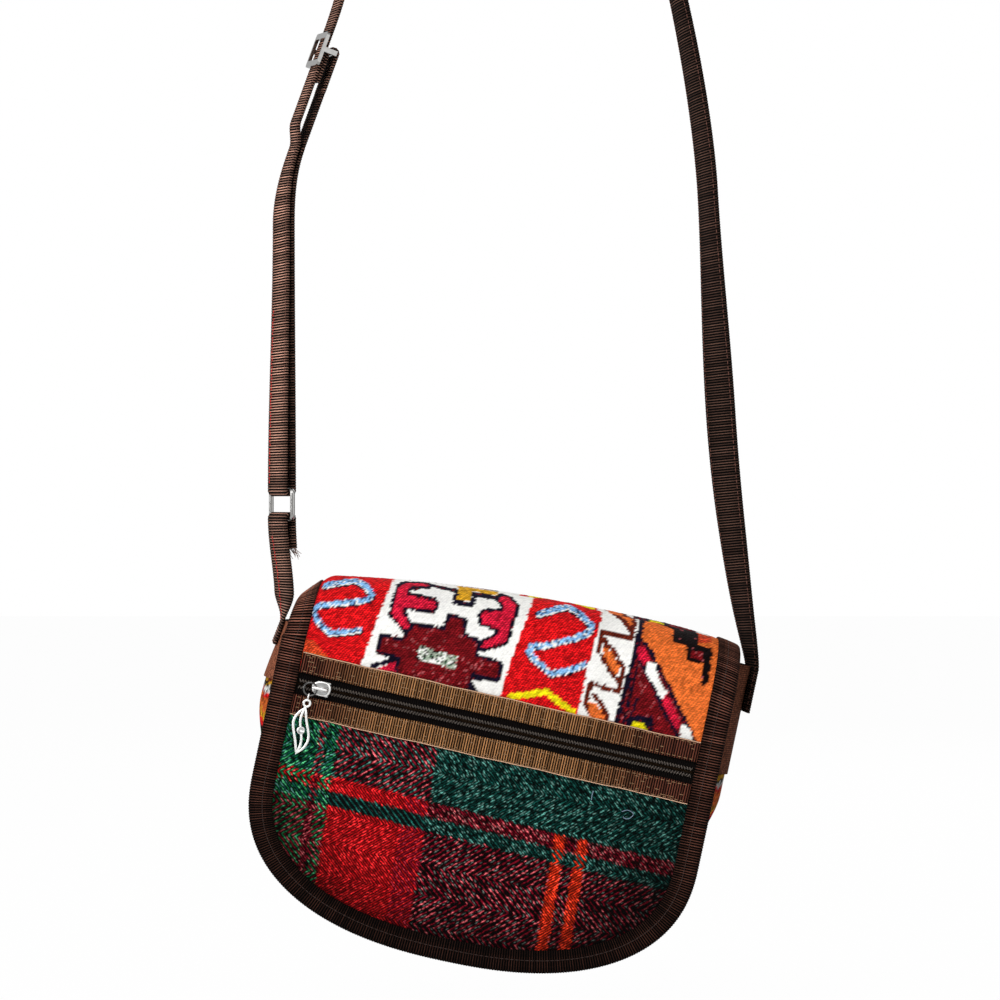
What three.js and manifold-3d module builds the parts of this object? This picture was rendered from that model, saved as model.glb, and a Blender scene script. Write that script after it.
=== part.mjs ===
// Kilim crossbody bag, hanging from its shoulder strap, in millimetres.
// The origin lies under the strap's crown, +Z is up and the flap faces -Y.
import * as THREE from "three";
import { mergeVertices } from "three/addons/utils/BufferGeometryUtils.js";
import Module from "manifold-3d";

const wasm = await Module();
wasm.setup();

// How the bag hangs
const strapDrop = 547; // crown of the strap to the top of the fold
const hangShift = 18.5; // middle of the fold, to the right of the crown
const hangTilt = 12; // degrees, right side down

// Flap and fold
const flapWidth = 251; // over the binding
const flapDrop = 208; // top of the fold to the flap's lowest edge
const sideLength = 128; // top of the fold to the start of the rounded bottom
const cornerPower = 2.35; // superellipse power of the rounded bottom
const foldHeight = 28; // height of the arched top
const crestShift = 60; // highest point of the fold, right of the middle
const leftDroop = 16; // how far the left end of the fold sags
const rightDroop = 5;
const leftDroopPower = 2.2;
const rightDroopPower = 3;
const droopEnd = 54; // drop at which the sag has died out
const hingeStart = 20.3; // left end of the fold bends down this far inside its edge
const hingeBend = 6.3; // length of that bend
const hingeAngle = 40; // degrees, slope of the cloth beyond it
const hingeEnd = 64; // drop at which the left edge is no longer drawn in
const hingePower = 4; // how fast that dies out
const curlStart = 105; // drop at which the flap starts to curl back
const curlBack = 9; // how far the flap's lowest edge curls back
const pillowHeight = 3; // how far the tartan panel swells
const pillowRun = 20; // drop over which the swell sets in below the zip

// Cloth layers
const clearance = 0.3; // between pieces that are sewn or laid together
const clothThickness = 2.5;
const liningThickness = 1.5;
const pocketGap = 0.6; // empty zip pocket between cloth and lining
const bindingThickness = 0.9;
const bindingReach = 12;

// Body
const bodyDepth = 56; // gusset between front and back
const bodyInset = 7; // body seam inside the flap's edge
const mouthDrop = 32; // top of the fold to the front panel's edge
const leftGussetTop = 28; // crest of the fold to the gusset's ends
const rightGussetTop = 10;
const panelThickness = 3;
const gussetThickness = 2.5;
const sideBulge = 14; // how far the gusset swells at the sides
const leftTopBulge = 7; // and at the left top end
const lowBulge = 5; // and where its sides end
const bottomBulge = 10; // and under the bag
const bulgeHold = 88; // drop down to which the sides stay swollen
const facingThickness = 1.2;
const facingDrop = 76; // lower edge of the facings
const facingMargin = 0.09; // share of the gusset's depth left bare beside them

// Magnetic snap
const snapDrop = 160;
const snapRadius = 9;
const snapBossRadius = 3.4;
const snapBossLength = 1.6;
const studThickness = 1.4;
const socketThickness = 2.6;
const washerThickness = 0.6;
const washerRadius = 7;

// Zip
const zipDrop = 75; // top of the fold to the middle of the zip
const zipSlant = 0.8; // degrees, right end down
const zipGap = 12; // between the two webbings
const webbingHeight = 11.5;
const webbingThickness = 1.2;
const seamOverlap = 4; // webbing over the cloth's edge
const zipTapeThickness = 0.6;
const chainGap = 1.4; // between the two coils
const coilWidth = 2.2;
const coilHeight = 2.2;
const coilValley = 1.1; // coil height between two teeth
const toothPitch = 2.8;

// Zip slider, jump ring and leaf
const sliderFromEnd = 14; // middle of the slider, from the zip's left end
const sliderLength = 10.5;
const sliderWidth = 8.2;
const sliderPlate = 1;
const tailShare = 0.8; // half widths along the slider's outline, as shares of the largest
const bellyShare = 1.2;
const shoulderShare = 0.75;
const noseShare = 0.45;
const noseLength = 2;
const noseRound = 0.5;
const flangeThickness = 0.8;
const flangeShare = 0.7; // flange's length and its shift to the tail, as shares of the slider's length
const flangeShift = 0.084;
const postWidth = 0.7;
const postLength = 2.4;
const postFromNose = 2.2;
const bridgeWire = 0.9; // radius
const bridgeHeight = 3.2; // middle of the bridge over the top plate
const bridgeSpan = 7.6;
const bridgeShift = 0.6; // middle of the bridge, to the left of the slider's
const bridgeBend = 1.2;
const ringRadius = 3.6;
const ringWire = 0.55;
const ringShift = 1.4; // ring's middle from the bridge post, left and down
const loopRadius = 1.6;
const loopWire = 0.45;
const eyeRadius = 2.5;
const eyeHole = 1.1;
const leafLength = 27;
const leafHalfWidth = 4.7;
const leafSway = 1.5; // sideways swing of the rib
const leafRim = 1;
const leafRib = 0.5; // half width
const leafPower = 0.8; // fullness of the leaf's outline
const leafThickness = 1.2;
const leafDisc = 1.7;
const discRise = 0.3; // disc's and eye's faces over the blade's
const eyeRise = 0.2;
const leafEnds = [0.01, 0.99]; // shares of the leaf's length, of its outline and of its two holes
const leafHoles = [0.16, 0.86];

// Strap
const strapWidth = 25;
const strapThickness = 1.8;
const bandCorner = 0.54; // bevel of its edges
const sewnLength = 24;
const sewnStart = 2; // gusset's end to the place where the strap leaves it
const sewnTwist = -10; // degrees, strap turned towards the front where it is sewn on
const tabSewnLength = 12;
const tabSewnTwist = 6;
const tabRise = 58.7; // from there to the ring's lower bar
const tabReturn = 0.3; // share of the tab that is doubled
const tabTurn = 0.3; // share of the tab over which it turns to the front
const ringTwist = 28; // degrees, strap turned towards the front at the ring
const wireRadius = 1.4; // ring's wire and adjuster's bar
const ringCorner = 1.82;
const ringWindow = 13; // height of the ring's window
const sideRoom = 0.9; // strap's edge to the metal
const bendDrop = 317; // crown to the bend of the left leg
const bendReach = 22;
const bendTwist = 24;
const leftLean = 20; // degrees, left leg above the bend
const glideRun = 78; // bend to the adjuster's bar
const glideTwist = 16;
const glideHeight = 20;
const glidePlate = 1.8;
const glideRail = 3.6;
const glideSide = 2.2;
const glideLead = 14; // adjuster's bar to the start of the arch
const endLoopLength = 22;
const tailLength = 18;
const crownReach = 62; // handle lengths of the arch over the shoulder
const archReach = 92;
const rightTop = new THREE.Vector2(121.7, -322); // points that the right leg passes
const rightMiddle = new THREE.Vector2(129.6, -444);
const rightTopTwist = -21;
const rightMiddleTwist = -36;
const lowerReach = 95; // handle lengths between the right leg's middle and its sewn end
const sewnReach = 8;

// Sizes that follow from these
const clothStack = clothThickness + pocketGap + liningThickness;
const bindingWall = clearance + bindingThickness;
const snapGap = socketThickness + studThickness + 3 * clearance;
const frontPanelDepth = clothStack + snapGap;
const bodyFrontDepth = frontPanelDepth + panelThickness + 2 * clearance;
const frontOut = bodyDepth / 2 + bodyFrontDepth;
const backOut = bodyDepth / 2 + clothStack + bindingWall + clearance;
const foldReach = (frontOut + backOut) / 2;
const foldMiddle = (backOut - frontOut) / 2;
const clothHalf = flapWidth / 2 - bindingWall;
const clothDrop = flapDrop - bindingWall;
const bodyHalf = flapWidth / 2 - bodyInset;
const bodyDrop = flapDrop - bodyInset;
const zipHalf = clothHalf - bindingReach - clearance;
const zipFieldHalf = zipGap / 2 + seamOverlap;
const slantRise = Math.tan(THREE.MathUtils.degToRad(zipSlant));
const seatStack = clearance + facingThickness + clearance + strapThickness / 2;
const foldRadius = wireRadius + clearance + strapThickness / 2;
const glideLayer = foldRadius + strapThickness + clearance;
const ringHalfWidth = strapWidth / 2 + sideRoom + wireRadius;

const fabric = { roughness: 0.9, metalness: 0 };
const silver = { color: 0xd9d9d6, roughness: 0.25, metalness: 1 };
const materials = {
  kilim: new THREE.MeshStandardMaterial({ color: 0xb02028, ...fabric }),
  tartan: new THREE.MeshStandardMaterial({ color: 0x1d4a3c, ...fabric }),
  ribbed: new THREE.MeshStandardMaterial({ color: 0x3c281c, ...fabric }),
  webbing: new THREE.MeshStandardMaterial({ color: 0x5f4628, ...fabric }),
  lining: new THREE.MeshStandardMaterial({ color: 0x4a3424, ...fabric }),
  zip: new THREE.MeshStandardMaterial({ color: 0x221a16, roughness: 0.55, metalness: 0 }),
  metal: new THREE.MeshStandardMaterial(silver),
};

const wholeBag = new THREE.Group();
const bag = new THREE.Group();
bag.position.set(hangShift, 0, -strapDrop);
bag.rotation.y = THREE.MathUtils.degToRad(hangTilt);
bag.updateMatrix();
wholeBag.add(bag);

function addPiece(parent, name, geometry, material) {
  const mesh = new THREE.Mesh(geometry, material);
  mesh.name = name;
  parent.add(mesh);
  return mesh;
}

function smooth(value, low, high) {
  return THREE.MathUtils.smoothstep(value, low, high);
}

// Closed solid from points and triangles, turned so that its faces point out.
function closedSolid(points, faces) {
  let volume = 0;
  for (const [a, b, c] of faces) {
    volume += points[a].dot(points[b].clone().cross(points[c]));
  }
  const index = faces.flatMap(([a, b, c]) => (volume > 0 ? [a, b, c] : [a, c, b]));
  return new THREE.BufferGeometry().setFromPoints(points).setIndex(index);
}

// Sheet with a thickness: two grids of points, face(column, row, side), walled along the rim.
function sheet(columns, rows, face) {
  const points = [];
  const faces = [];
  const stride = rows + 1;
  const layer = (columns + 1) * stride;
  for (let side = 0; side < 2; side += 1) {
    for (let column = 0; column <= columns; column += 1) {
      for (let row = 0; row <= rows; row += 1) {
        points.push(face(column, row, side));
      }
    }
  }
  for (let column = 0; column < columns; column += 1) {
    for (let row = 0; row < rows; row += 1) {
      const a = column * stride + row;
      const b = a + stride;
      faces.push([a, b, a + 1], [b, b + 1, a + 1]);
      faces.push([layer + a, layer + a + 1, layer + b], [layer + b, layer + a + 1, layer + b + 1]);
    }
  }
  const rim = [];
  for (let column = 0; column < columns; column += 1) rim.push(column * stride);
  for (let row = 0; row < rows; row += 1) rim.push(columns * stride + row);
  for (let column = columns; column > 0; column -= 1) rim.push(column * stride + rows);
  for (let row = rows; row > 0; row -= 1) rim.push(row);
  rim.forEach((a, place) => {
    const b = rim[(place + 1) % rim.length];
    faces.push([b, a, layer + a], [b, layer + a, layer + b]);
  });
  return closedSolid(points, faces);
}

// Skin over rings of points that follow one another, with caps as on the flat section where it is no loop.
function loft(rings, section, isLoop) {
  const count = section.length;
  const faces = [];
  const spans = isLoop ? rings.length : rings.length - 1;
  for (let span = 0; span < spans; span += 1) {
    const near = span * count;
    const far = ((span + 1) % rings.length) * count;
    for (let side = 0; side < count; side += 1) {
      const next = (side + 1) % count;
      faces.push([near + side, near + next, far + next], [near + side, far + next, far + side]);
    }
  }
  if (!isLoop) {
    const last = (rings.length - 1) * count;
    for (const [a, b, c] of THREE.ShapeUtils.triangulateShape(section, [])) {
      faces.push([a, c, b], [last + a, last + b, last + c]);
    }
  }
  return closedSolid(rings.flat(), faces);
}

const sectionPoint = ({ at, across, out }, { x, y }) =>
  at.clone().addScaledVector(across, x).addScaledVector(out, y);

// Section carried through stations, each with a point and the section's two directions.
function sweep(stations, section, isLoop = false) {
  const rings = stations.map((station) => section.map((corner) => sectionPoint(station, corner)));
  return loft(rings, section, isLoop);
}

function toSolid(geometry) {
  const bare = geometry.clone();
  bare.deleteAttribute("normal");
  bare.deleteAttribute("uv");
  const merged = mergeVertices(bare, 1e-4);
  const vertProperties = new Float32Array(merged.attributes.position.array);
  const triVerts = new Uint32Array(merged.index.array);
  return new wasm.Manifold(new wasm.Mesh({ numProp: 3, vertProperties, triVerts }));
}

function joined(...geometries) {
  const whole = geometries.map(toSolid).reduce((sum, next) => sum.add(next));
  const mesh = whole.getMesh();
  const geometry = new THREE.BufferGeometry();
  geometry.setAttribute("position", new THREE.BufferAttribute(mesh.vertProperties, 3));
  geometry.setIndex(new THREE.BufferAttribute(mesh.triVerts, 1));
  return geometry;
}

// How far the fold's crest line has sunk at x.
function droopAt(x) {
  const side = x - crestShift;
  if (side < 0) return leftDroop * (-side / (crestShift + clothHalf)) ** leftDroopPower;
  return rightDroop * (side / (clothHalf - crestShift)) ** rightDroopPower;
}

function curlAt(down) {
  return curlBack * (Math.max(0, down - curlStart) / (flapDrop - curlStart)) ** 2;
}

// Left end of the fold: how far the cloth, bent down there, has sunk and been drawn in at x.
function hingeAt(x) {
  const run = Math.max(0, hingeStart - clothHalf - x);
  const angle = THREE.MathUtils.degToRad(hingeAngle);
  const bent = Math.min(1, run / hingeBend) * angle;
  const straight = Math.max(0, run - hingeBend);
  const radius = hingeBend / angle;
  const sag = radius * (1 - Math.cos(bent)) + straight * Math.sin(angle);
  const reach = radius * Math.sin(bent) + straight * Math.cos(angle);
  return { sag, pull: run - reach };
}

// Outer face of the folded cloth: along runs down the front where positive, down the back where negative.
function clothFace(x, along) {
  const down = Math.abs(along);
  const hinge = hingeAt(x);
  const drawn = Math.max(0, 1 - (down / hingeEnd) ** 2) ** hingePower;
  const at = new THREE.Vector3(x + hinge.pull * drawn, backOut, -down);
  if (down < foldHeight) {
    const turn = ((along / foldHeight) * Math.PI) / 2;
    at.y = foldMiddle - foldReach * Math.sin(turn);
    at.z = foldHeight * (Math.cos(turn) - 1) - hinge.sag * Math.cos(turn) ** 2;
  } else if (along > 0) {
    at.y = curlAt(down) - frontOut;
  }
  at.z -= droopAt(x) * (1 - smooth(down, foldHeight, droopEnd));
  return at;
}

// The same face with its outward direction, square to the face's own two directions.
function clothFrame(x, along) {
  const reach = 0.01;
  const over = clothFace(x + reach, along).sub(clothFace(x - reach, along));
  const downward = clothFace(x, along + reach).sub(clothFace(x, along - reach));
  return { at: clothFace(x, along), out: downward.cross(over).normalize() };
}

function clothPoint(x, along, depth) {
  const { at, out } = clothFrame(x, along);
  return at.addScaledVector(out, -depth);
}

// Lowest drop of an outline with straight sides and a rounded bottom, at x.
function edgeDrop(x, half, drop) {
  const share = Math.min(1, Math.abs(x) / half);
  return sideLength + (drop - sideLength) * (1 - share ** cornerPower) ** (1 / cornerPower);
}

// Columns across an outline, at the places where its rounded bottom has its points.
function columnAt(column, columns, half) {
  const turn = Math.cos((Math.PI * column) / columns);
  return -half * Math.sign(turn) * Math.abs(turn) ** (2 / cornerPower);
}

// Rounded bottom from the left side to the right, as points with their outward directions.
function roundedBottom(half, drop, steps) {
  const depth = drop - sideLength;
  const power = 2 / cornerPower;
  return Array.from({ length: steps + 1 }, (_, step) => {
    const turn = (Math.PI * step) / steps;
    const side = Math.abs(Math.cos(turn)) ** power * -Math.sign(Math.cos(turn));
    const low = Math.abs(Math.sin(turn)) ** power;
    const slope = new THREE.Vector2(
      (Math.abs(side) ** (cornerPower - 1) * Math.sign(side)) / half,
      low ** (cornerPower - 1) / depth,
    ).normalize();
    return { x: side * half, down: sideLength + low * depth, slope };
  });
}

const outlineSteps = 20;
const bodySteps = 16;
const foldTurns = [
  -0.9, -0.8, -0.69, -0.57, -0.45, -0.32, -0.19, -0.06, 0.06, 0.19, 0.32, 0.45, 0.57, 0.69, 0.8, 0.9,
];
const foldRows = [-1, ...foldTurns, 1].map((share) => share * foldHeight);

// One kilim cloth: back, fold and the flap down to the zip.
function kilimShell() {
  const columns = outlineSteps;
  const hem = bindingReach + 2;
  const backRows = 3;
  const rows = backRows + foldRows.length + 1;
  return sheet(columns, rows, (column, row, side) => {
    const x = columnAt(column, columns, clothHalf);
    const low = edgeDrop(x, clothHalf, clothDrop);
    const end = zipDrop - zipFieldHalf + x * slantRise;
    const stops = [-low, hem - low, -droopEnd, ...foldRows, droopEnd, end];
    return clothPoint(x, stops[row], side * clothThickness);
  });
}

// Lining under the whole cloth, also behind the zip pocket.
function lining() {
  const columns = outlineSteps;
  const curlRows = 5;
  const rows = 1 + foldRows.length + 1 + curlRows;
  const depth = clothThickness + pocketGap;
  return sheet(columns, rows, (column, row, side) => {
    const x = columnAt(column, columns, clothHalf);
    const low = edgeDrop(x, clothHalf, clothDrop);
    const stops = [-low, -droopEnd, ...foldRows, droopEnd];
    const past = row - stops.length + 1;
    const bend = curlStart + ((low - curlStart) * (past - 1)) / (curlRows - 1);
    return clothPoint(x, past > 0 ? bend : stops[row], depth + side * liningThickness);
  });
}

// Drop of the lower webbing's bottom edge at x, where the tartan panel comes out.
const panelTop = (x) => zipDrop + zipGap / 2 + webbingHeight + x * slantRise;

// Swell of the tartan panel, nil under the binding and along the zip.
function pillowAt(x, down) {
  const side = Math.abs(x) / (clothHalf - bindingReach);
  const low = Math.max(0, down - sideLength) / (clothDrop - bindingReach - sideLength);
  const share = Math.min(1, (side ** cornerPower + low ** cornerPower) ** (1 / cornerPower));
  const top = panelTop(x) + clearance;
  return pillowHeight * (1 - share ** 2) ** 2 * smooth(down, top, top + pillowRun);
}

function tartanPanel() {
  const columns = outlineSteps;
  const rows = 6;
  return sheet(columns, rows, (column, row, side) => {
    const x = columnAt(column, columns, clothHalf);
    const seam = zipDrop + zipFieldHalf + x * slantRise;
    const top = panelTop(x) + clearance;
    const swollen = top + ((edgeDrop(x, clothHalf, clothDrop) - top) * (row - 1)) / (rows - 1);
    const down = row > 0 ? swollen : seam;
    return clothPoint(x, down, side * clothThickness - pillowAt(x, down));
  });
}

// Ribbed tape folded over the whole cut edge, once round the front, the fold and the back.
function edgeBinding() {
  const stops = [foldHeight, (foldHeight + droopEnd) / 2, droopEnd, (droopEnd + sideLength) / 2];
  const bottom = roundedBottom(clothHalf, clothDrop, outlineSteps).map(({ x, down }) => [x, down]);
  const left = stops.map((down) => [-clothHalf, down]);
  const right = stops.map((down) => [clothHalf, down]).reverse();
  const front = [...left, ...bottom, ...right];
  const back = front.map(([x, down]) => [x, -down]).reverse();
  const rightFold = foldTurns.map((share) => [clothHalf, -share * foldHeight]);
  const leftFold = foldTurns.map((share) => [-clothHalf, share * foldHeight]);
  const edge = [...front, ...rightFold, ...back, ...leftFold];
  const faceAt = (place) => clothFace(...edge[(place + edge.length) % edge.length]);
  const low = -clothStack - clearance;
  const turn = bindingWall / 3;
  const middle = bindingReach / 2;
  const section = [
    [middle, bindingWall], [bindingReach, bindingWall], [bindingReach, clearance],
    [middle, clearance], [-clearance, clearance], [-clearance, low],
    [middle, low], [bindingReach, low], [bindingReach, low - bindingThickness],
    [middle, low - bindingThickness], [-turn / 2, low - bindingThickness],
    [-bindingWall, low + turn], [-bindingWall, -turn], [-turn / 2, bindingWall],
  ].map(([x, y]) => new THREE.Vector2(x, y));
  const rings = edge.map(([x, along], place) => {
    const { at, out } = clothFrame(x, along);
    const isSide = Math.abs(along) <= sideLength;
    const inward = -Math.sign(x);
    const across = isSide
      ? clothFace(x + inward * bindingReach, along).sub(at)
      : out.clone().cross(faceAt(place + 1).sub(faceAt(place - 1)));
    const station = { at, across: across.normalize(), out };
    return section.map((corner) => (isSide && corner.x > 0
      ? clothPoint(x + inward * corner.x, along, -corner.y)
      : sectionPoint(station, corner)));
  });
  return loft(rings, section, true);
}

// Drops along one side of the gusset, from its narrowed top end down to the rounded bottom.
function sideDrops(hand) {
  const sag = droopAt(hand * bodyHalf);
  const room = Math.max(0, foldHeight - (hand < 0 ? leftGussetTop : rightGussetTop));
  const archEnd = foldHeight + sag;
  const narrowed = room > 0 ? [1, 0.88, 0.7, 0.4].map((share) => archEnd - room * share) : [];
  const middle = (archEnd + facingDrop) / 2;
  return [...narrowed, archEnd, middle, facingDrop, bulgeHold, (bulgeHold + sideLength) / 2];
}

// How far the gusset's side swells at a drop.
function sideSwell(hand, down) {
  const top = hand < 0 ? leftTopBulge : sideBulge;
  const swollen = top + (sideBulge - top) * smooth(down, foldHeight, bulgeHold);
  return swollen + (lowBulge - swollen) * smooth(down, bulgeHold, sideLength);
}

const sidePoint = (hand, down) => ({ x: hand * bodyHalf, down, slope: new THREE.Vector2(hand, 0) });

// Outline of the body from the gusset's left end round the bottom to its right end.
function bodyOutline() {
  const left = sideDrops(-1).map((down) => sidePoint(-1, down));
  const right = sideDrops(1).map((down) => sidePoint(1, down));
  return [...left, ...roundedBottom(bodyHalf, bodyDrop, bodySteps), ...right.reverse()];
}

// Half depth that the arched top leaves for the gusset's ends.
function archRoom(x, down) {
  const inset = clothStack + bindingWall + 2 * clearance;
  const rise = 1 - (down - droopAt(x) - inset) / (foldHeight - inset);
  return (foldReach - inset) * Math.sqrt(1 - Math.max(0, rise) ** 2);
}

// Point on the swollen gusset: share runs from its front edge to its back edge, lift stands off its face.
function gussetPoint({ x, down, slope }, share, lift) {
  const room = archRoom(x, down);
  const front = Math.max(curlAt(down) - bodyDepth / 2, foldMiddle - room);
  const back = Math.min(bodyDepth / 2, foldMiddle + room);
  const side = sideSwell(x, down);
  const swell = side + (bottomBulge - side) * slope.y ** 2;
  const off = swell * 4 * share * (1 - share) + lift;
  return new THREE.Vector3(x + slope.x * off, front + (back - front) * share, -down - slope.y * off);
}

// Shares of the gusset's depth: its facings leave out the first and the last.
const facingShares = [0, 0.25, 0.5, 0.75, 1].map((share) => facingMargin + (1 - 2 * facingMargin) * share);
const gussetShares = [0, ...facingShares, 1];

function gusset() {
  const outline = bodyOutline();
  return sheet(outline.length - 1, gussetShares.length - 1, (column, row, side) =>
    gussetPoint(outline[column], gussetShares[row], -side * gussetThickness));
}

// Plain cloth facing on one top end of the gusset, with its rows in the gusset's own order.
function facing(hand) {
  const drops = sideDrops(hand).filter((down) => down <= facingDrop);
  if (hand > 0) drops.reverse();
  return sheet(drops.length - 1, facingShares.length - 1, (column, row, side) =>
    gussetPoint(sidePoint(hand, drops[column]), facingShares[row], clearance + side * facingThickness));
}

function frontPanel() {
  const columns = bodySteps;
  const rows = 5;
  return sheet(columns, rows, (column, row, side) => {
    const x = columnAt(column, columns, bodyHalf);
    const low = edgeDrop(x, bodyHalf, bodyDrop);
    const bend = curlStart + ((low - curlStart) * (row - 1)) / (rows - 1);
    return clothPoint(x, row > 0 ? bend : mouthDrop, frontPanelDepth + side * panelThickness);
  });
}

addPiece(bag, "kilim_shell", kilimShell(), materials.kilim);
addPiece(bag, "lining", lining(), materials.lining);
addPiece(bag, "tartan_panel", tartanPanel(), materials.tartan);
addPiece(bag, "edge_binding", edgeBinding(), materials.ribbed);
addPiece(bag, "gusset", gusset(), materials.kilim);
addPiece(bag, "front_panel", frontPanel(), materials.lining);
addPiece(bag, "left_facing", facing(-1), materials.webbing);
addPiece(bag, "right_facing", facing(1), materials.webbing);

// Magnetic snap: turned pieces on one axis that goes in through the flap.
const lathePoint = ([radius, height]) => new THREE.Vector2(radius, height);
const snapSegments = 16;

function addSnap() {
  const { at, out } = clothFrame(0, snapDrop);
  const snap = new THREE.Group();
  snap.position.copy(at);
  snap.quaternion.setFromUnitVectors(new THREE.Vector3(0, -1, 0), out);
  bag.add(snap);
  const washer = [[0, 0], [washerRadius, 0], [washerRadius, washerThickness], [0, washerThickness]];
  const stud = [
    [0, 0], [snapRadius, 0], [snapRadius, studThickness], [snapBossRadius, studThickness],
    [snapBossRadius, studThickness + snapBossLength], [0, studThickness + snapBossLength],
  ];
  const well = snapBossRadius + clearance;
  const wellFloor = snapBossLength + clearance;
  const socket = [
    [0, wellFloor], [well, wellFloor], [well, 0], [snapRadius, 0],
    [snapRadius, socketThickness], [0, socketThickness],
  ];
  const stack = [
    ["snap_stud_washer", washer, clothThickness + pocketGap - clearance / 2 - washerThickness],
    ["snap_stud", stud, clothStack + clearance],
    ["snap_socket", socket, clothStack + studThickness + 2 * clearance],
    ["snap_socket_washer", washer, frontPanelDepth + panelThickness + clearance],
  ];
  for (const [name, profile, depth] of stack) {
    const piece = new THREE.LatheGeometry(profile.map(lathePoint), snapSegments);
    addPiece(snap, name, joined(piece), materials.metal).position.y = depth;
  }
}
addSnap();

// Zip: everything along the slanted line across the flap, with y running in from the cloth's face.
const zip = new THREE.Group();
zip.position.set(0, -frontOut, -zipDrop);
zip.rotation.y = THREE.MathUtils.degToRad(zipSlant);
bag.add(zip);

function zipWebbing(hand) {
  const strip = new THREE.BoxGeometry(2 * zipHalf, webbingThickness, webbingHeight);
  const low = -clearance - webbingThickness / 2;
  return strip.translate(0, low, (hand * (zipGap + webbingHeight)) / 2);
}

// Half of the zip: flat tape with a toothed coil along its inner edge.
function zipHalfPiece(hand) {
  const tapeWidth = zipFieldHalf - clearance - chainGap / 2;
  const tape = new THREE.BoxGeometry(2 * zipHalf, zipTapeThickness, tapeWidth);
  tape.translate(0, clearance + zipTapeThickness / 2, hand * (chainGap + tapeWidth) / 2);
  const teeth = Math.floor((2 * zipHalf) / toothPitch);
  const start = -(teeth * toothPitch) / 2;
  const profile = new THREE.Shape();
  profile.moveTo(start, -zipTapeThickness / 2);
  for (let tooth = 0; tooth < teeth; tooth += 1) {
    const x = start + tooth * toothPitch;
    const crest = hand > 0 ? 0.35 : 0.65;
    profile.lineTo(x, coilValley);
    profile.lineTo(x + crest * toothPitch, coilHeight);
  }
  profile.lineTo(-start, coilValley);
  profile.lineTo(-start, -zipTapeThickness / 2);
  const coil = new THREE.ExtrudeGeometry(profile, { depth: coilWidth, bevelEnabled: false });
  coil.rotateX(Math.PI);
  coil.translate(0, clearance, chainGap / 2 + (hand > 0 ? coilWidth : -chainGap));
  return joined(tape, coil);
}

addPiece(zip, "upper_zip_webbing", zipWebbing(1), materials.webbing);
addPiece(zip, "lower_zip_webbing", zipWebbing(-1), materials.webbing);
addPiece(zip, "zip_upper_half", zipHalfPiece(1), materials.zip);
addPiece(zip, "zip_lower_half", zipHalfPiece(-1), materials.zip);

// Slider with its ring and leaf, in its own group, with y = 0 on the zip tape's outer face.
const pull = new THREE.Group();
pull.position.set(sliderFromEnd - zipHalf, clearance, 0);
zip.add(pull);
const plateLow = coilHeight + clearance;
const plateTop = plateLow + sliderPlate;
const postX = -bridgeSpan / 2 - bridgeShift;
const ringLift = plateTop + clearance + ringWire;
const ringX = postX - ringShift;
const loopDrop = ringShift + ringRadius + loopRadius - loopWire - ringWire - clearance / 3;

// Flat plate seen from the front, turned so that its thickness runs out from the cloth, from low to high.
function plate(shape, low, high) {
  const options = { depth: high - low, bevelEnabled: false, curveSegments: 6 };
  const geometry = new THREE.ExtrudeGeometry(shape, options);
  geometry.rotateX(Math.PI / 2);
  return geometry.translate(0, -low, 0);
}

function sliderOutline() {
  const half = sliderWidth / 2;
  const nose = -sliderLength / 2;
  const tail = sliderLength / 2;
  const shoulder = nose + noseLength;
  const tip = nose - noseRound;
  const shape = new THREE.Shape();
  shape.moveTo(tail, -half * tailShare);
  shape.lineTo(tail, half * tailShare);
  shape.quadraticCurveTo(0, half * bellyShare, shoulder, half * shoulderShare);
  shape.quadraticCurveTo(tip, half * noseShare, nose, 0);
  shape.quadraticCurveTo(tip, -half * noseShare, shoulder, -half * shoulderShare);
  shape.quadraticCurveTo(0, -half * bellyShare, tail, -half * tailShare);
  return shape;
}

// Round wire bent into a staple over the top plate.
function bridge() {
  const left = postX;
  const right = postX + bridgeSpan;
  const low = -(plateTop - sliderPlate / 2);
  const high = -(plateTop + bridgeHeight);
  const path = new THREE.CurvePath();
  const corner = (x, y) => new THREE.Vector3(x, y, 0);
  path.add(new THREE.LineCurve3(corner(left, low), corner(left, high + bridgeBend)));
  path.add(new THREE.QuadraticBezierCurve3(
    corner(left, high + bridgeBend), corner(left, high), corner(left + bridgeBend, high)));
  path.add(new THREE.LineCurve3(corner(left + bridgeBend, high), corner(right - bridgeBend, high)));
  path.add(new THREE.QuadraticBezierCurve3(
    corner(right - bridgeBend, high), corner(right, high), corner(right, high + bridgeBend)));
  path.add(new THREE.LineCurve3(corner(right, high + bridgeBend), corner(right, low)));
  const wire = new THREE.Shape().absarc(0, 0, bridgeWire, 0, 2 * Math.PI);
  return new THREE.ExtrudeGeometry(wire, { steps: 16, curveSegments: 4, extrudePath: path });
}

function zipSlider() {
  const outline = sliderOutline();
  const under = -zipTapeThickness - clearance;
  const top = plate(outline, plateLow, plateTop);
  const bottom = plate(outline, under - sliderPlate, under);
  const flangeInner = chainGap / 2 + coilWidth + clearance;
  const flangeLength = sliderLength * flangeShare;
  const flanges = [-1, 1].map((hand) => {
    const tall = plateLow + sliderPlate / 2 - clearance;
    const flange = new THREE.BoxGeometry(flangeLength, tall, flangeThickness);
    const out = hand * (flangeInner + flangeThickness / 2);
    return flange.translate(sliderLength * flangeShift, -clearance - tall / 2, out);
  });
  const tall = plateLow - under + sliderPlate;
  const post = new THREE.BoxGeometry(postLength, tall, postWidth);
  post.translate(postFromNose - sliderLength / 2, -(plateLow + under) / 2, 0);
  return joined(top, bottom, ...flanges, post, bridge());
}

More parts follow.
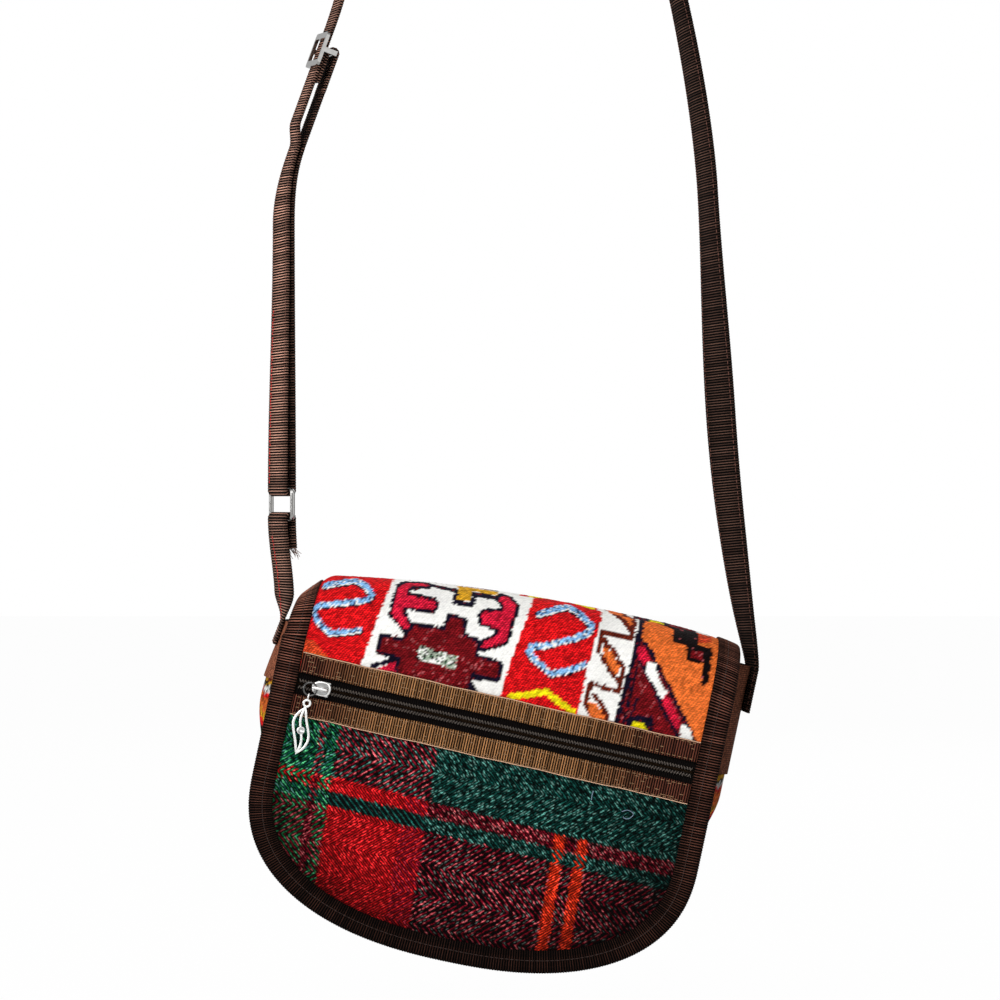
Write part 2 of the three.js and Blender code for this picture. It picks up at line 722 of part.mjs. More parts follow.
// Sideways place of the leaf's rib and half width of the leaf, at a share of its length from the top.
const ribAt = (share) => -leafSway * Math.sin(2 * Math.PI * share);
const leafHalfAt = (share) => leafHalfWidth * Math.sin(Math.PI * share) ** leafPower;

// One side of the leaf as points from one share to another, an inset from its edge.
function leafSide(hand, inset, from, to, steps) {
  return Array.from({ length: steps + 1 }, (_, step) => {
    const share = from + ((to - from) * step) / steps;
    const half = Math.max(0, leafHalfAt(share) - inset);
    return new THREE.Vector2(ribAt(share) + hand * half, -leafLength * share);
  });
}

function leafPull() {
  const steps = 9;
  const right = leafSide(1, 0, ...leafEnds, steps).reverse();
  const outline = [...leafSide(-1, 0, ...leafEnds, steps), ...right];
  const leaf = new THREE.Shape(outline);
  for (const hand of [-1, 1]) {
    const outer = leafSide(hand, leafRim, ...leafHoles, steps);
    const inner = outer.map(({ y }) => new THREE.Vector2(ribAt(-y / leafLength) + hand * leafRib, y));
    leaf.holes.push(new THREE.Path([...outer, ...inner.reverse()]));
  }
  const leafTop = -loopRadius - 2 * eyeRadius + 1;
  const half = leafThickness / 2;
  const blade = plate(leaf, -half, half).translate(0, 0, leafTop);
  const disc = new THREE.Shape().absarc(0, 0, leafDisc, 0, 2 * Math.PI);
  const middle = plate(disc, -half - discRise, half + discRise).translate(0, 0, leafTop - leafLength / 2);
  const eye = new THREE.Shape().absarc(0, 0, eyeRadius, 0, 2 * Math.PI);
  eye.holes.push(new THREE.Path().absarc(0, 0, eyeHole, 0, 2 * Math.PI, true));
  const eyePlate = plate(eye, -half - eyeRise, half + eyeRise);
  eyePlate.translate(0, 0, eyeRise - loopRadius - eyeRadius);
  const loop = new THREE.TorusGeometry(loopRadius, loopWire, 6, 12).rotateY(Math.PI / 2);
  return joined(blade, middle, eyePlate, loop);
}

addPiece(pull, "zip_slider", zipSlider(), materials.metal);
const jumpRing = joined(new THREE.TorusGeometry(ringRadius, ringWire, 6, 20).rotateX(Math.PI / 2));
addPiece(pull, "pull_ring", jumpRing, materials.metal).position.set(ringX, -ringLift, -ringShift);
addPiece(pull, "leaf_pull", leafPull(), materials.metal).position.set(ringX, -ringLift, -loopDrop);

// Strap: a flat band whose stations give its middle, its width direction and its outward direction.
const depthAxis = new THREE.Vector3(0, 1, 0);

// Frame of a band that runs along tangent in the plane y = 0 and is turned by twist degrees.
function bandFrame(at, tangent, twist) {
  const flat = new THREE.Vector3(-tangent.z, 0, tangent.x).normalize();
  const turn = THREE.MathUtils.degToRad(twist);
  const across = depthAxis.clone().multiplyScalar(Math.cos(turn)).addScaledVector(flat, Math.sin(turn));
  const out = flat.multiplyScalar(Math.cos(turn)).addScaledVector(depthAxis, -Math.sin(turn));
  return { at, across, out, tangent };
}

// Frames along one stretch of the strap, with the band's offset eased from end to end and its twist
// over the first turnShare of the way.
function stretch(curve, steps, twist, offset, turnShare = 1) {
  return Array.from({ length: steps + 1 }, (_, step) => {
    const share = step / steps;
    const ease = smooth(share, 0, 1);
    const turn = twist[0] + (twist[1] - twist[0]) * smooth(share, 0, turnShare);
    const frame = bandFrame(curve.getPoint(share), curve.getTangent(share), turn);
    return { ...frame, offset: offset[0] + (offset[1] - offset[0]) * ease };
  });
}

const shifted = (frame, offset) => ({ ...frame, at: frame.at.clone().addScaledVector(frame.out, offset) });

// Half turn of the band round a bar, from one face over the end of the bar to the other face.
function turnRound({ at, across, out, tangent }, radius, end) {
  const steps = 5;
  return Array.from({ length: steps + 1 }, (_, step) => {
    const angle = (Math.PI * step) / steps;
    const away = out.clone().multiplyScalar(-Math.cos(angle));
    away.addScaledVector(tangent, end * Math.sin(angle));
    return { at: at.clone().addScaledVector(away, radius), across, out: away };
  });
}

const bandSection = [
  [-strapWidth / 2, bandCorner - strapThickness / 2], [bandCorner - strapWidth / 2, -strapThickness / 2],
  [strapWidth / 2 - bandCorner, -strapThickness / 2], [strapWidth / 2, bandCorner - strapThickness / 2],
  [strapWidth / 2, strapThickness / 2 - bandCorner], [strapWidth / 2 - bandCorner, strapThickness / 2],
  [bandCorner - strapWidth / 2, strapThickness / 2], [-strapWidth / 2, strapThickness / 2 - bandCorner],
].map(([x, y]) => new THREE.Vector2(x, y));

const onSide = (hand, down) => {
  const seat = bodyHalf + sideSwell(hand, down) + seatStack;
  return new THREE.Vector3(hand * seat, 0, -down).applyMatrix4(bag.matrix);
};
const turned = (degrees) => {
  const angle = THREE.MathUtils.degToRad(degrees);
  return new THREE.Vector3(Math.sin(angle), 0, Math.cos(angle));
};
const bagUp = turned(hangTilt);
const plumb = turned(0);
const step = (from, direction, length) => from.clone().addScaledVector(direction, length);

// Places along the strap
const leftSewn = sideDrops(-1)[0] + sewnStart;
const rightSewn = sideDrops(1)[0] + sewnStart;
const tabLow = onSide(-1, leftSewn + tabSewnLength);
const tabTop = onSide(-1, leftSewn);
const lowBar = step(tabTop, plumb, tabRise);
const highBar = step(lowBar, plumb, ringWindow + 2 * wireRadius);
const bend = new THREE.Vector3(highBar.x, 0, -bendDrop);
const leanWay = turned(leftLean);
const bendLow = step(bend, plumb, -bendReach);
const bendHigh = step(bend, leanWay, bendReach);
const glideBar = step(bend, leanWay, glideRun);
const glideEnd = step(glideBar, leanWay, glideLead);
const crown = new THREE.Vector3(0, 0, strapThickness / 2);
const rightOne = new THREE.Vector3(rightTop.x, 0, rightTop.y);
const rightTwo = new THREE.Vector3(rightMiddle.x, 0, rightMiddle.y);
const sewnHigh = onSide(1, rightSewn);
const sewnLow = onSide(1, rightSewn + sewnLength);
const sideways = new THREE.Vector3(1, 0, 0);
const rightWay = rightTwo.clone().sub(rightOne).normalize();

const ringLine = stretch(
  new THREE.LineCurve3(highBar, bendLow), 6, [ringTwist, bendTwist], [foldRadius, glideLayer]);
const bendLine = stretch(
  new THREE.QuadraticBezierCurve3(bendLow, bend, bendHigh),
  5, [bendTwist, glideTwist], [glideLayer, glideLayer]);
const glideLine = stretch(
  new THREE.LineCurve3(bendHigh, glideEnd), 1, [glideTwist, glideTwist], [glideLayer, glideLayer]);
const leftArch = stretch(
  new THREE.CubicBezierCurve3(
    glideEnd, step(glideEnd, leanWay, archReach), step(crown, sideways, -crownReach), crown),
  13, [glideTwist, 0], [glideLayer, 0]);
const rightArch = stretch(
  new THREE.CubicBezierCurve3(
    crown, step(crown, sideways, crownReach), step(rightOne, rightWay, -archReach), rightOne),
  14, [0, rightTopTwist], [0, 0]);
const rightUpper = stretch(
  new THREE.LineCurve3(rightOne, rightTwo), 6, [rightTopTwist, rightMiddleTwist], [0, 0]);
const rightLower = stretch(
  new THREE.CubicBezierCurve3(
    rightTwo, step(rightTwo, rightWay, lowerReach), step(sewnHigh, bagUp, sewnReach), sewnHigh),
  12, [rightMiddleTwist, sewnTwist], [0, 0]);
const sewnLine = stretch(new THREE.LineCurve3(sewnHigh, sewnLow), 1, [sewnTwist, sewnTwist], [0, 0]);

// Long webbing: up from the ring, over the shoulder and down to the right gusset.
function shoulderStrap() {
  const lower = [...ringLine, ...bendLine.slice(1)];
  const returning = lower.map((frame) => shifted(frame, -foldRadius)).reverse();
  const rising = [
    ...lower, ...glideLine.slice(1), ...leftArch.slice(1), ...rightArch.slice(1),
    ...rightUpper.slice(1), ...rightLower.slice(1), ...sewnLine.slice(1),
  ].map((frame) => shifted(frame, frame.offset));
  const around = turnRound(ringLine[0], foldRadius, -1).slice(1, -1);
  const flipped = returning.map((frame) => ({ ...frame, out: frame.out.clone().negate() }));
  return sweep([...flipped, ...around, ...rising], bandSection);
}

const glideFrame = bandFrame(glideBar, leanWay, glideTwist);

// Straight part of the sewn-back layer, which crumples when the adjuster slides down.
function strapReturn() {
  const span = glideRun - bendReach - endLoopLength;
  const low = bandFrame(step(bendHigh, leanWay, clearance), leanWay, glideTwist);
  const high = bandFrame(step(bendHigh, leanWay, span - clearance), leanWay, glideTwist);
  return sweep([shifted(low, -foldRadius), shifted(high, -foldRadius)], bandSection);
}

// Sewn end of the webbing, looped round the adjuster's bar.
function strapEndLoop() {
  const around = turnRound(glideFrame, foldRadius, 1);
  const low = { ...around[0], at: step(around[0].at, leanWay, -endLoopLength) };
  const last = around[around.length - 1];
  const tail = { ...last, at: step(last.at, leanWay, -tailLength) };
  return sweep([low, ...around, tail], bandSection);
}

// Short webbing tab from the left gusset round the ring's lower bar, its end turned down inside.
function strapTab() {
  const handle = tabRise / 3;
  const steps = 10;
  const rise = new THREE.CubicBezierCurve3(
    tabTop, step(tabTop, bagUp, handle), step(lowBar, plumb, -handle), lowBar);
  const sewn = stretch(new THREE.LineCurve3(tabLow, tabTop), 1, [tabSewnTwist, tabSewnTwist], [0, 0]);
  const free = stretch(rise, steps, [tabSewnTwist, ringTwist], [0, foldRadius], tabTurn);
  const rest = 2 * foldRadius - strapThickness - clearance;
  const doubled = free.filter((_, place) => place / steps >= 1 - tabReturn);
  const inner = doubled.map((frame) => {
    const gap = strapThickness + clearance + (rest * frame.offset) / foldRadius;
    return { ...shifted(frame, frame.offset - gap), out: frame.out.clone().negate() };
  }).reverse();
  const outer = [...sewn, ...free.slice(1)].map((frame) => shifted(frame, frame.offset));
  const around = turnRound(free[free.length - 1], foldRadius, 1).slice(1, -1).reverse();
  return sweep([...outer, ...around, ...inner], bandSection);
}

// Group whose x runs across the strap, y out of it and z up along it.
function hardwareGroup({ at, across, out, tangent }) {
  const group = new THREE.Group();
  group.position.copy(at);
  group.quaternion.setFromRotationMatrix(new THREE.Matrix4().makeBasis(across, out, tangent));
  wholeBag.add(group);
  return group;
}

// Rectangular ring of round wire with rounded corners.
function rectRing() {
  const straightX = ringHalfWidth - ringCorner;
  const straightZ = ringWindow / 2 + wireRadius - ringCorner;
  const turns = 3;
  const stations = [];
  for (let place = 0; place < 4; place += 1) {
    const sideX = place === 0 || place === 3 ? 1 : -1;
    const sideZ = place < 2 ? 1 : -1;
    for (let turn = 0; turn <= turns; turn += 1) {
      const angle = ((place + turn / turns) * Math.PI) / 2;
      const out = new THREE.Vector3(Math.cos(angle), 0, Math.sin(angle));
      const middle = new THREE.Vector3(sideX * straightX, 0, sideZ * straightZ);
      stations.push({ at: middle.addScaledVector(out, ringCorner), across: depthAxis, out });
    }
  }
  const wire = new THREE.Shape().absarc(0, 0, wireRadius, 0, 2 * Math.PI).getPoints(4).slice(0, -1);
  return sweep(stations, wire, true);
}

// Adjuster: a flat frame in front of the strap, with a set-back bar between two side arms.
function triGlide() {
  const halfWidth = strapWidth / 2 + sideRoom + glideSide;
  const halfHeight = glideHeight / 2;
  const corner = glideSide;
  const frameLow = glideLayer + strapThickness / 2 + clearance;
  const outline = new THREE.Shape();
  outline.absarc(halfWidth - corner, halfHeight - corner, corner, 0, Math.PI / 2);
  outline.absarc(corner - halfWidth, halfHeight - corner, corner, Math.PI / 2, Math.PI);
  outline.absarc(corner - halfWidth, corner - halfHeight, corner, Math.PI, 1.5 * Math.PI);
  outline.absarc(halfWidth - corner, corner - halfHeight, corner, 1.5 * Math.PI, 2 * Math.PI);
  const innerX = strapWidth / 2 + sideRoom;
  const innerZ = halfHeight - glideRail;
  const windowPoints = [[-innerX, -innerZ], [-innerX, innerZ], [innerX, innerZ], [innerX, -innerZ]];
  outline.holes.push(new THREE.Path(windowPoints.map(([x, y]) => new THREE.Vector2(x, y))));
  const options = { depth: glidePlate, bevelEnabled: false, curveSegments: 4 };
  const frame = new THREE.ExtrudeGeometry(outline, options);
  frame.rotateX(Math.PI / 2).translate(0, frameLow + glidePlate, 0);
  const armTall = frameLow + glidePlate / 2 + wireRadius;
  const arms = [-1, 1].map((hand) => {
    const arm = new THREE.BoxGeometry(glideSide, armTall, 2 * wireRadius);
    return arm.translate(hand * (innerX + glideSide / 2), armTall / 2 - wireRadius, 0);
  });
  const bar = new THREE.CylinderGeometry(wireRadius, wireRadius, 2 * innerX + glideSide, 12);
  return joined(frame, ...arms, bar.rotateZ(Math.PI / 2));
}

addPiece(wholeBag, "shoulder_strap", shoulderStrap(), materials.ribbed);
addPiece(wholeBag, "strap_return", strapReturn(), materials.ribbed);
addPiece(wholeBag, "strap_end_loop", strapEndLoop(), materials.ribbed);
addPiece(wholeBag, "strap_tab", strapTab(), materials.ribbed);
const ringMiddle = lowBar.clone().add(highBar).multiplyScalar(0.5);
addPiece(hardwareGroup(bandFrame(ringMiddle, plumb, ringTwist)), "rect_ring", rectRing(), materials.metal);
addPiece(hardwareGroup(glideFrame), "tri_glide", triGlide(), materials.metal);

export default wholeBag;
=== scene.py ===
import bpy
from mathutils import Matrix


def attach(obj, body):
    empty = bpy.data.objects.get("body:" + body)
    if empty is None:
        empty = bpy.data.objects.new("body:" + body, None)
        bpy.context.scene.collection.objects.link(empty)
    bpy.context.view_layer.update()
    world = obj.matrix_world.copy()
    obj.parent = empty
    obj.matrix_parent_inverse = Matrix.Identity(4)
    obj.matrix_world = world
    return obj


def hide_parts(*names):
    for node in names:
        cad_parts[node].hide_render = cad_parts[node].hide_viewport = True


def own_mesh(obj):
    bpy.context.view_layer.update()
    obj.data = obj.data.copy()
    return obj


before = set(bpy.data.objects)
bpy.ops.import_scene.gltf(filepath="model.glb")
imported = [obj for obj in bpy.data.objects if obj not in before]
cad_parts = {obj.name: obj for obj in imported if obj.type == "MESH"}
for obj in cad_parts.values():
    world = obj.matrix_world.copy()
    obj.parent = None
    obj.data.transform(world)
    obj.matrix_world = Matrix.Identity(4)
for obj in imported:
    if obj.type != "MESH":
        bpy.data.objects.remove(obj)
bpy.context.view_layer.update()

import math

import bpy
import numpy as np
from bpy.props import FloatProperty, FloatVectorProperty, PointerProperty
from bpy.types import Operator, Panel, PropertyGroup

bl_info = {
    "name": "Kilim crossbody bag",
    "version": (1, 0, 0),
    "blender": (4, 5, 0),
    "location": "View3D > Sidebar > Bag",
    "description": "Dresses the solids of a kilim crossbody bag with woven cloth, tape, webbing and metal",
    "category": "Object",
}

# Sizes of the solids, in millimetres: x runs right, y in, and drops run down from the top of the fold.
MM = 0.001
HANG = np.array([18.5, 0.0, -547.0])
TILT = math.radians(12.0)
HALF, DROP, SIDE, POWER = 124.3, 206.8, 128.0, 2.35
FOLD, FOLD_REACH, FOLD_MIDDLE = 28.0, 37.6, -3.5
CREST, DROOP_END, CURL_START, CURL_BACK, FLAP_DROP = 60.0, 54.0, 105.0, 9.0, 208.0
BODY_HALF, BODY_DROP, BODY_FRONT, BODY_BACK = 118.5, 201.0, -28.0, 28.0
SWELL, SWELL_LEFT, SWELL_LOW, SWELL_BOTTOM, SWELL_DROP = 14.0, 7.0, 5, 10, 88
STACK, REACH, FRONT_OUT = 4.6, 12.0, 41.1
ZIP_DROP, ZIP_HALF, ZIP_FIELD, TAPE_START, TAPE_TALL = 75.0, 112.0, 10.0, 6.0, 11.5
ZIP_SLANT = math.radians(0.8)
SLANT = math.tan(ZIP_SLANT)
BAND, BAND_THICK, BAR_TURN, TOP_LAYER, CLOSE_LAYER = 25.0, 1.8, 2.6, 4.7, 0.4
RING_TWIST, MID_TWIST, GLIDE_TWIST = 28.0, 24.0, 16.0
HINGE_START, HINGE_BEND, HINGE_ANGLE, HINGE_END = 20.3, 6.3, math.radians(40.0), 64.0
LEFT_TOP, RIGHT_TOP, FACING_DROP, FRONT_TOP = 28.0, 10.0, 76.0, 32
TAB_RISE, TAB_TURN, TAB_RETURN, TAB_TWIST, SEWN_TWIST = 58.7, 0.3, 0.3, 6.0, -10.0

# Yarn and finish colours as they look, 0 to 255.
COLOURS = {
    "red": ("Kilim red", (255, 26, 32)),
    "crimson": ("Kilim crimson", (250, 34, 70)),
    "vermilion": ("Kilim vermilion", (255, 84, 46)),
    "orange": ("Kilim orange", (255, 124, 54)),
    "maroon": ("Kilim maroon", (134, 20, 28)),
    "russet": ("Kilim russet brown", (120, 40, 24)),
    "cream": ("Kilim undyed wool", (253, 252, 248)),
    "ash": ("Kilim grey green", (176, 190, 170)),
    "sky": ("Kilim light blue", (142, 198, 250)),
    "deep": ("Kilim deep blue", (50, 84, 140)),
    "rose": ("Kilim rose", (196, 96, 100)),
    "navy": ("Kilim navy", (22, 16, 40)),
    "black": ("Kilim black", (20, 10, 12)),
    "yellow": ("Kilim yellow", (250, 234, 20)),
    "mustard": ("Kilim mustard", (240, 178, 40)),
    "green": ("Tartan green", (16, 120, 68)),
    "teal": ("Tartan teal", (16, 80, 72)),
    "scarlet": ("Tartan red", (208, 18, 26)),
    "wine": ("Tartan wine", (138, 12, 36)),
    "soot": ("Tartan black", (14, 10, 12)),
    "coral": ("Tartan orange", (244, 56, 24)),
    "binding": ("Ribbed binding", (82, 50, 40)),
    "strap": ("Strap webbing", (122, 90, 77)),
    "tape": ("Webbing beside the zip", (165, 117, 75)),
    "tape_end": ("Webbing near its two ends", (98, 54, 41)),
    "facing": ("Gusset facing", (162, 98, 72)),
    "lining": ("Lining", (72, 54, 38)),
    "zip": ("Zip tape", (14, 10, 9)),
    "coil": ("Zip coil", (74, 64, 56)),
    "thread": ("Sewing thread", (140, 106, 72)),
    "edge_thread": ("Thread along the webbing", (214, 172, 140)),
    "strap_thread": ("Sewing thread of the strap", (104, 62, 50)),
    "loose": ("Loose threads", (118, 138, 158)),
    "satin": ("Slider and leaf", (244, 244, 242)),
    "metal": ("Strap hardware", (156, 155, 153)),
}
SIZES = {
    "stitch_width": ("Kilim stitch width", 0.00165),
    "stitch_height": ("Kilim stitch height", 0.0013),
    "yarn_width": ("Tartan warp spacing", 0.00095),
    "yarn_height": ("Tartan weft spacing", 0.00085),
    "binding_rib": ("Binding rib spacing", 0.00145),
    "strap_rib": ("Strap rib spacing", 0.0015),
    "tape_rib": ("Zip webbing rib spacing", 0.00138),
    "coil_pitch": ("Zip coil spacing", 0.00158),
    "sewing_stitch": ("Sewing stitch length", 0.0032),
}


def stepped_star(low):
    """Outline of the stepped star, closed at its start, whose foot ends at a drop."""
    return [
        (-56.5, 29.5), (-38, 28.5), (-37, 21), (-29.5, 21), (-28.5, 29), (-20, 31), (-19, 39), (-5, 40.5),
        (-5, 48.5), (-19.5, 47.5), (-20.5, low), (-59, low), (-59, 47.5), (-71, 47), (-71, 39), (-58.5, 39),
        (-56.5, 29.5),
    ]


# The star's two arms, each drawn once as an edge and once filled.
LEFT_ARM = [
    (-53, 5), (-59, 6), (-65.5, 7.5), (-68.5, 10.5), (-69, 25.5), (-64.5, 29), (-59.5, 32.5), (-57, 30.5),
    (-63, 23.5), (-63.5, 20), (-47, 19), (-46, 16.5), (-47.5, 14), (-63, 14), (-63, 10), (-58, 8), (-53, 7),
]
RIGHT_ARM = [
    (-12.5, 6.5), (-12, 3.5), (-7.5, 4), (-2.5, 7.5), (-3.5, 17.5), (-4.5, 27.5), (-10.5, 31), (-16, 33.5),
    (-17.5, 31.5), (-9, 25), (-9.5, 21), (-19.5, 20), (-20.5, 16.5), (-19, 14), (-9, 12), (-9, 8),
    (-12.5, 6.5),
]
# Kilim motifs in painting order: colour, stroke width or 0 for a filled outline, then points (x, drop).
MOTIFS = [
    ("red", 0, [(-122, -15.5), (-69.5, -15.5), (-80, 58), (-81.5, 70), (-122, 70)]),
    ("cream", 0, [
        (-69.5, -15.5), (8.5, -15.5), (6.5, 0.5), (3, 20.5), (-1.5, 58), (-2.5, 70), (-81.5, 70),
        (-80, 58),
    ]),
    ("red", 0, [
        (8.5, -15.5), (46.5, -15.5), (44.5, 12), (43, 26), (42.5, 70), (-2.5, 70), (-1.5, 58),
        (3, 20.5), (6.5, 0.5),
    ]),
    ("cream", 0, [
        (46.5, -15.5), (69, -15.5), (67, 12), (66.5, 26), (64, 70), (42.5, 70), (43, 26), (44.5, 12),
    ]),
    ("maroon", 0, [(69, -15.5), (124, -15.5), (124, 70), (64, 70), (66.5, 26), (67, 12)]),
    ("orange", 0, [
        (69, -15.5), (124, -15.5), (124, 70), (113.5, 66.5), (109, 59.5), (99.5, 45.5), (88.5, 33),
        (76, 17.5), (68, 10.5),
    ]),
    ("vermilion", 0, [(-116.5, 48), (-107, 49), (-97, 57), (-97, 60), (-116.5, 60)]),
    ("orange", 0, [(-113, 56), (-102, 55), (-95, 57.5), (-95, 60), (-113, 60)]),
    ("hook", 2.6, [
        (-109, 18.5), (-101.5, 15.5), (-93, 12), (-86.5, 14), (-81.5, 17.5), (-83, 20.5), (-89, 23),
        (-108.5, 29), (-111.5, 32), (-108.5, 37), (-99.5, 43), (-84, 38),
    ]),
    ("navy", 4.0, stepped_star(56.5)),
    ("maroon", 0, stepped_star(62)),
    ("navy", 3.6, LEFT_ARM),
    ("crimson", 0, LEFT_ARM),
    ("navy", 3.6, RIGHT_ARM),
    ("crimson", 0, RIGHT_ARM),
    ("navy", 2.5, [
        (-52.5, 5.5), (-43.5, 6), (-36.5, 6), (-36.5, 12), (-26.5, 12), (-26.5, 6), (-14, 5.5),
        (-12.5, 3.5),
    ]),
    ("mustard", 0, [(-37, 1.5), (-14, 0.5), (-14, 4), (-28, 4.5), (-28, 10.5), (-35.5, 10.5), (-35.5, 4)]),
    ("ash", 0, [(-50.5, 39), (-28.5, 41), (-28.5, 48), (-50.5, 47)]),
    ("navy", 2.2, [(-73.5, 56), (-64.5, 51), (-59.5, 49)]),
    ("crimson", 0, [(-72.5, 58), (-64.5, 52.5), (-61, 50.5), (-60, 61), (-72.5, 61)]),
    ("navy", 0, [(-19, 48.5), (-13, 49), (-13, 51.5), (-18.5, 51)]),
    ("navy", 0, [(-20, 55.5), (-17, 53), (-13, 59), (-14, 62), (-20, 62)]),
    ("hook", 2.8, [
        (10.5, 9), (18, 5.5), (26, 1.5), (34, 5), (41, 9.5), (40, 13), (32, 18), (17, 25), (10, 27),
        (9, 29.5), (12.5, 33), (24, 39.5), (31.5, 36.5), (40.5, 31),
    ]),
    ("yellow", 3.6, [(5, 56.5), (13.5, 53.5), (23, 49.5), (30.5, 53.5), (39.5, 57)]),
    ("orange", 0, [(52.5, -4.5), (63, -4.5), (63, 5.5), (58.5, 5)]),
    ("russet", 2.5, [(51, -1), (58, 3.5), (63, 8)]),
    ("russet", 2.5, [(64, -0.5), (63.5, 11.5), (47, 11.5), (47, 22.5)]),
    ("orange", 0, [(49, 19), (53.5, 20.5), (60, 27.5), (60, 32.5), (56, 32.5), (50, 25)]),
    ("russet", 2.5, [(49, 15), (51, 18.5)]),
    ("russet", 2.5, [
        (53, 18.5), (56.5, 21.5), (59.5, 25.5), (62.5, 29), (62, 41), (46, 40.5), (46, 52.5),
        (50, 56.5), (52, 61),
    ]),
    ("russet", 2.5, [(49, 24), (53, 29), (57.5, 33), (61, 36)]),
    ("orange", 0, [(47, 49.5), (51.5, 50.5), (58, 56.5), (57.5, 62), (51, 62), (47.5, 54)]),
    ("russet", 2.5, [(49, 46), (53, 49), (58.5, 55.5)]),
    ("russet", 2.5, [(58.5, 58), (62, 59.5)]),
    ("navy", 2.8, [(69, -15.5), (68.5, -0.5), (67, 12), (66.5, 26), (64.5, 60), (64, 70)]),
    ("navy", 1.7, [(69.5, 26), (68, 64.5)]),
    ("navy", 1.7, [(73, 43.5), (70, 64.5)]),
    ("navy", 2.2, [
        (68, 10.5), (75, 16), (83, 26.5), (88.5, 33), (96.5, 43.5), (103.5, 52.5), (109, 60),
        (112.5, 64.5),
    ]),
    ("navy", 2.2, [
        (67, 19), (73, 25.5), (78.5, 32.5), (84, 40), (89.5, 47.5), (96, 55), (100.5, 60.5),
        (103.5, 64.5),
    ]),
    ("crimson", 0, [(68, 15), (71, 15), (75.5, 20.5), (72.5, 24), (68, 20.5)]),
    ("cream", 0, [
        (75, 21.5), (79, 22.5), (83.5, 30.5), (88.5, 36.5), (87.5, 40.5), (84, 39), (78.5, 31.5),
        (74, 28.5), (74, 25),
    ]),
    ("crimson", 0, [(87.5, 37), (91.5, 40.5), (97, 47.5), (100, 54), (97, 55), (91.5, 48), (87, 42.5)]),
    ("cream", 0, [(99.5, 51), (103, 52.5), (106.5, 56.5), (110.5, 63.5), (105, 64.5), (100, 59)]),
    ("navy", 0, [(70.5, 52.5), (84.5, 51), (84, 64.5), (70.5, 64.5)]),
    ("yellow", 0, [(72.5, 57), (75, 55), (79.5, 55.5), (81.5, 60), (81.5, 64.5), (72.5, 64.5)]),
    ("black", 0, [
        (77.5, -3), (100.5, -3), (100.5, 7.5), (109, 8), (109, 28.5), (105.5, 28.5), (105.5, 17),
        (95.5, 16.5), (94.5, 9), (86.5, 9), (86, 2), (77.5, 0),
    ]),
    ("maroon", 0, [(97.5, 11), (104, 11), (104, 15), (97.5, 15)]),
    ("vermilion", 0, [(100.5, 0), (108, 1), (108, 5.5), (100.5, 6.5)]),
]
MOTIF_TALL = 58.5
# Layers of a hook, from the lowest: colour, width added and how far it is set down.
HOOK = [("navy", 1.2, 0.7), ("cream", 0.4, 0.4), ("sky", 0.4, -0.2)]
# Stray stitches: a colour, the colour mixed into it and the share of its stitches that take it.
STRAYS = [
    ("sky", "cream", 0.14), ("sky", "deep", 0.2), ("ash", "cream", 0.28), ("ash", "black", 0.2),
    ("ash", "green", 0.12), ("maroon", "rose", 0.06), ("navy", "maroon", 0.06), ("black", "rose", 0.02),
]
# How far painted shade darkens a colour between its stitches, where that differs from the others.
DEPTHS = {"cream": 0.12, "orange": 0.6, "yellow": 0.4, "sky": 0.5, "ash": 0.5, "mustard": 0.6}
# Tartan stripes: where each starts, from the middle for the warp and by drop for the weft.
RED_LEFT, SOOT_LEFT, RED_LINE, TEAL_LINE, WINE_BLOCK = -82, -27, 121, 129, 137
WARP = [
    (-999, "green"), (-93, "wine"), (-89, "green"), (RED_LEFT, "scarlet"), (-40, "wine"), (SOOT_LEFT, "soot"),
    (44.5, "coral"), (50.5, "soot"), (57, "coral"), (63, "soot"),
]
WEFT = [(0, "teal"), (RED_LINE, "scarlet"), (TEAL_LINE, "teal"), (WINE_BLOCK, "wine")]
# Height of the twill's bands between its turns, and the drop of one turn.
TWILL_BAND, TWILL_START = 17.0, 88.0
# Gusset stripes by their distance below the crest, the same from both ends.
GUSSET_BANDS = [
    (0, "russet"), (77, "mustard"), (79.5, "black"), (82, "cream"), (84.5, "red"), (87, "orange"),
    (95, "mustard"), (99, "red"), (104, "black"), (107, "green"), (126, "maroon"), (142, "cream"),
    (148, "russet"), (166, "orange"), (180, "navy"), (186, "red"), (214, "cream"), (222, "green"),
    (240, "maroon"),
]
# Places along a rib of binding, webbing or tape.
STEPS = 3
# How far painted shade darkens cloths between their threads, and the most of it that also shows as bump.
STITCH_SHADE, GUSSET_SHADE, TWILL_SHADE, TAPE_SHADE, RIB_SHADE = 0.95, 0.8, 1.25, 3.4, 7.0
DEEPEST_BUMP = 2.0


def linear(colour):
    """Scene colour of a tone that looks like 0 to 255: the usual screen curve undone."""
    share = np.array(colour, float) / 255
    return tuple(np.where(share <= 0.04045, share / 12.92, ((share + 0.055) / 1.055) ** 2.4).tolist())


class BagSizes(PropertyGroup):
    """Spacings of yarns, ribs and stitches."""


class BagColours(PropertyGroup):
    """Colours of yarns, tapes and metal."""


BagSizes.__annotations__ = {
    key: FloatProperty(name=name, description=name, default=size, min=0.0004, unit="LENGTH", precision=5)
    for key, (name, size) in SIZES.items()
}
BagColours.__annotations__ = {
    key: FloatVectorProperty(
        name=name, description=name, size=3, subtype="COLOR", min=0, max=1, default=linear(colour))
    for key, (name, colour) in COLOURS.items()
}


def size(key):
    """A spacing of the scene's settings, in millimetres."""
    return getattr(bpy.context.scene.bag_sizes, key) / MM


def colour(key):
    """A colour of the scene's settings."""
    return np.array(getattr(bpy.context.scene.bag_colours, key))


def smooth(value, low, high):
    """Eases from 0 at low to 1 at high: three squares less two cubes of the share."""
    share = np.clip((value - low) / (high - low), 0, 1)
    return share * share * (3 - 2 * share)


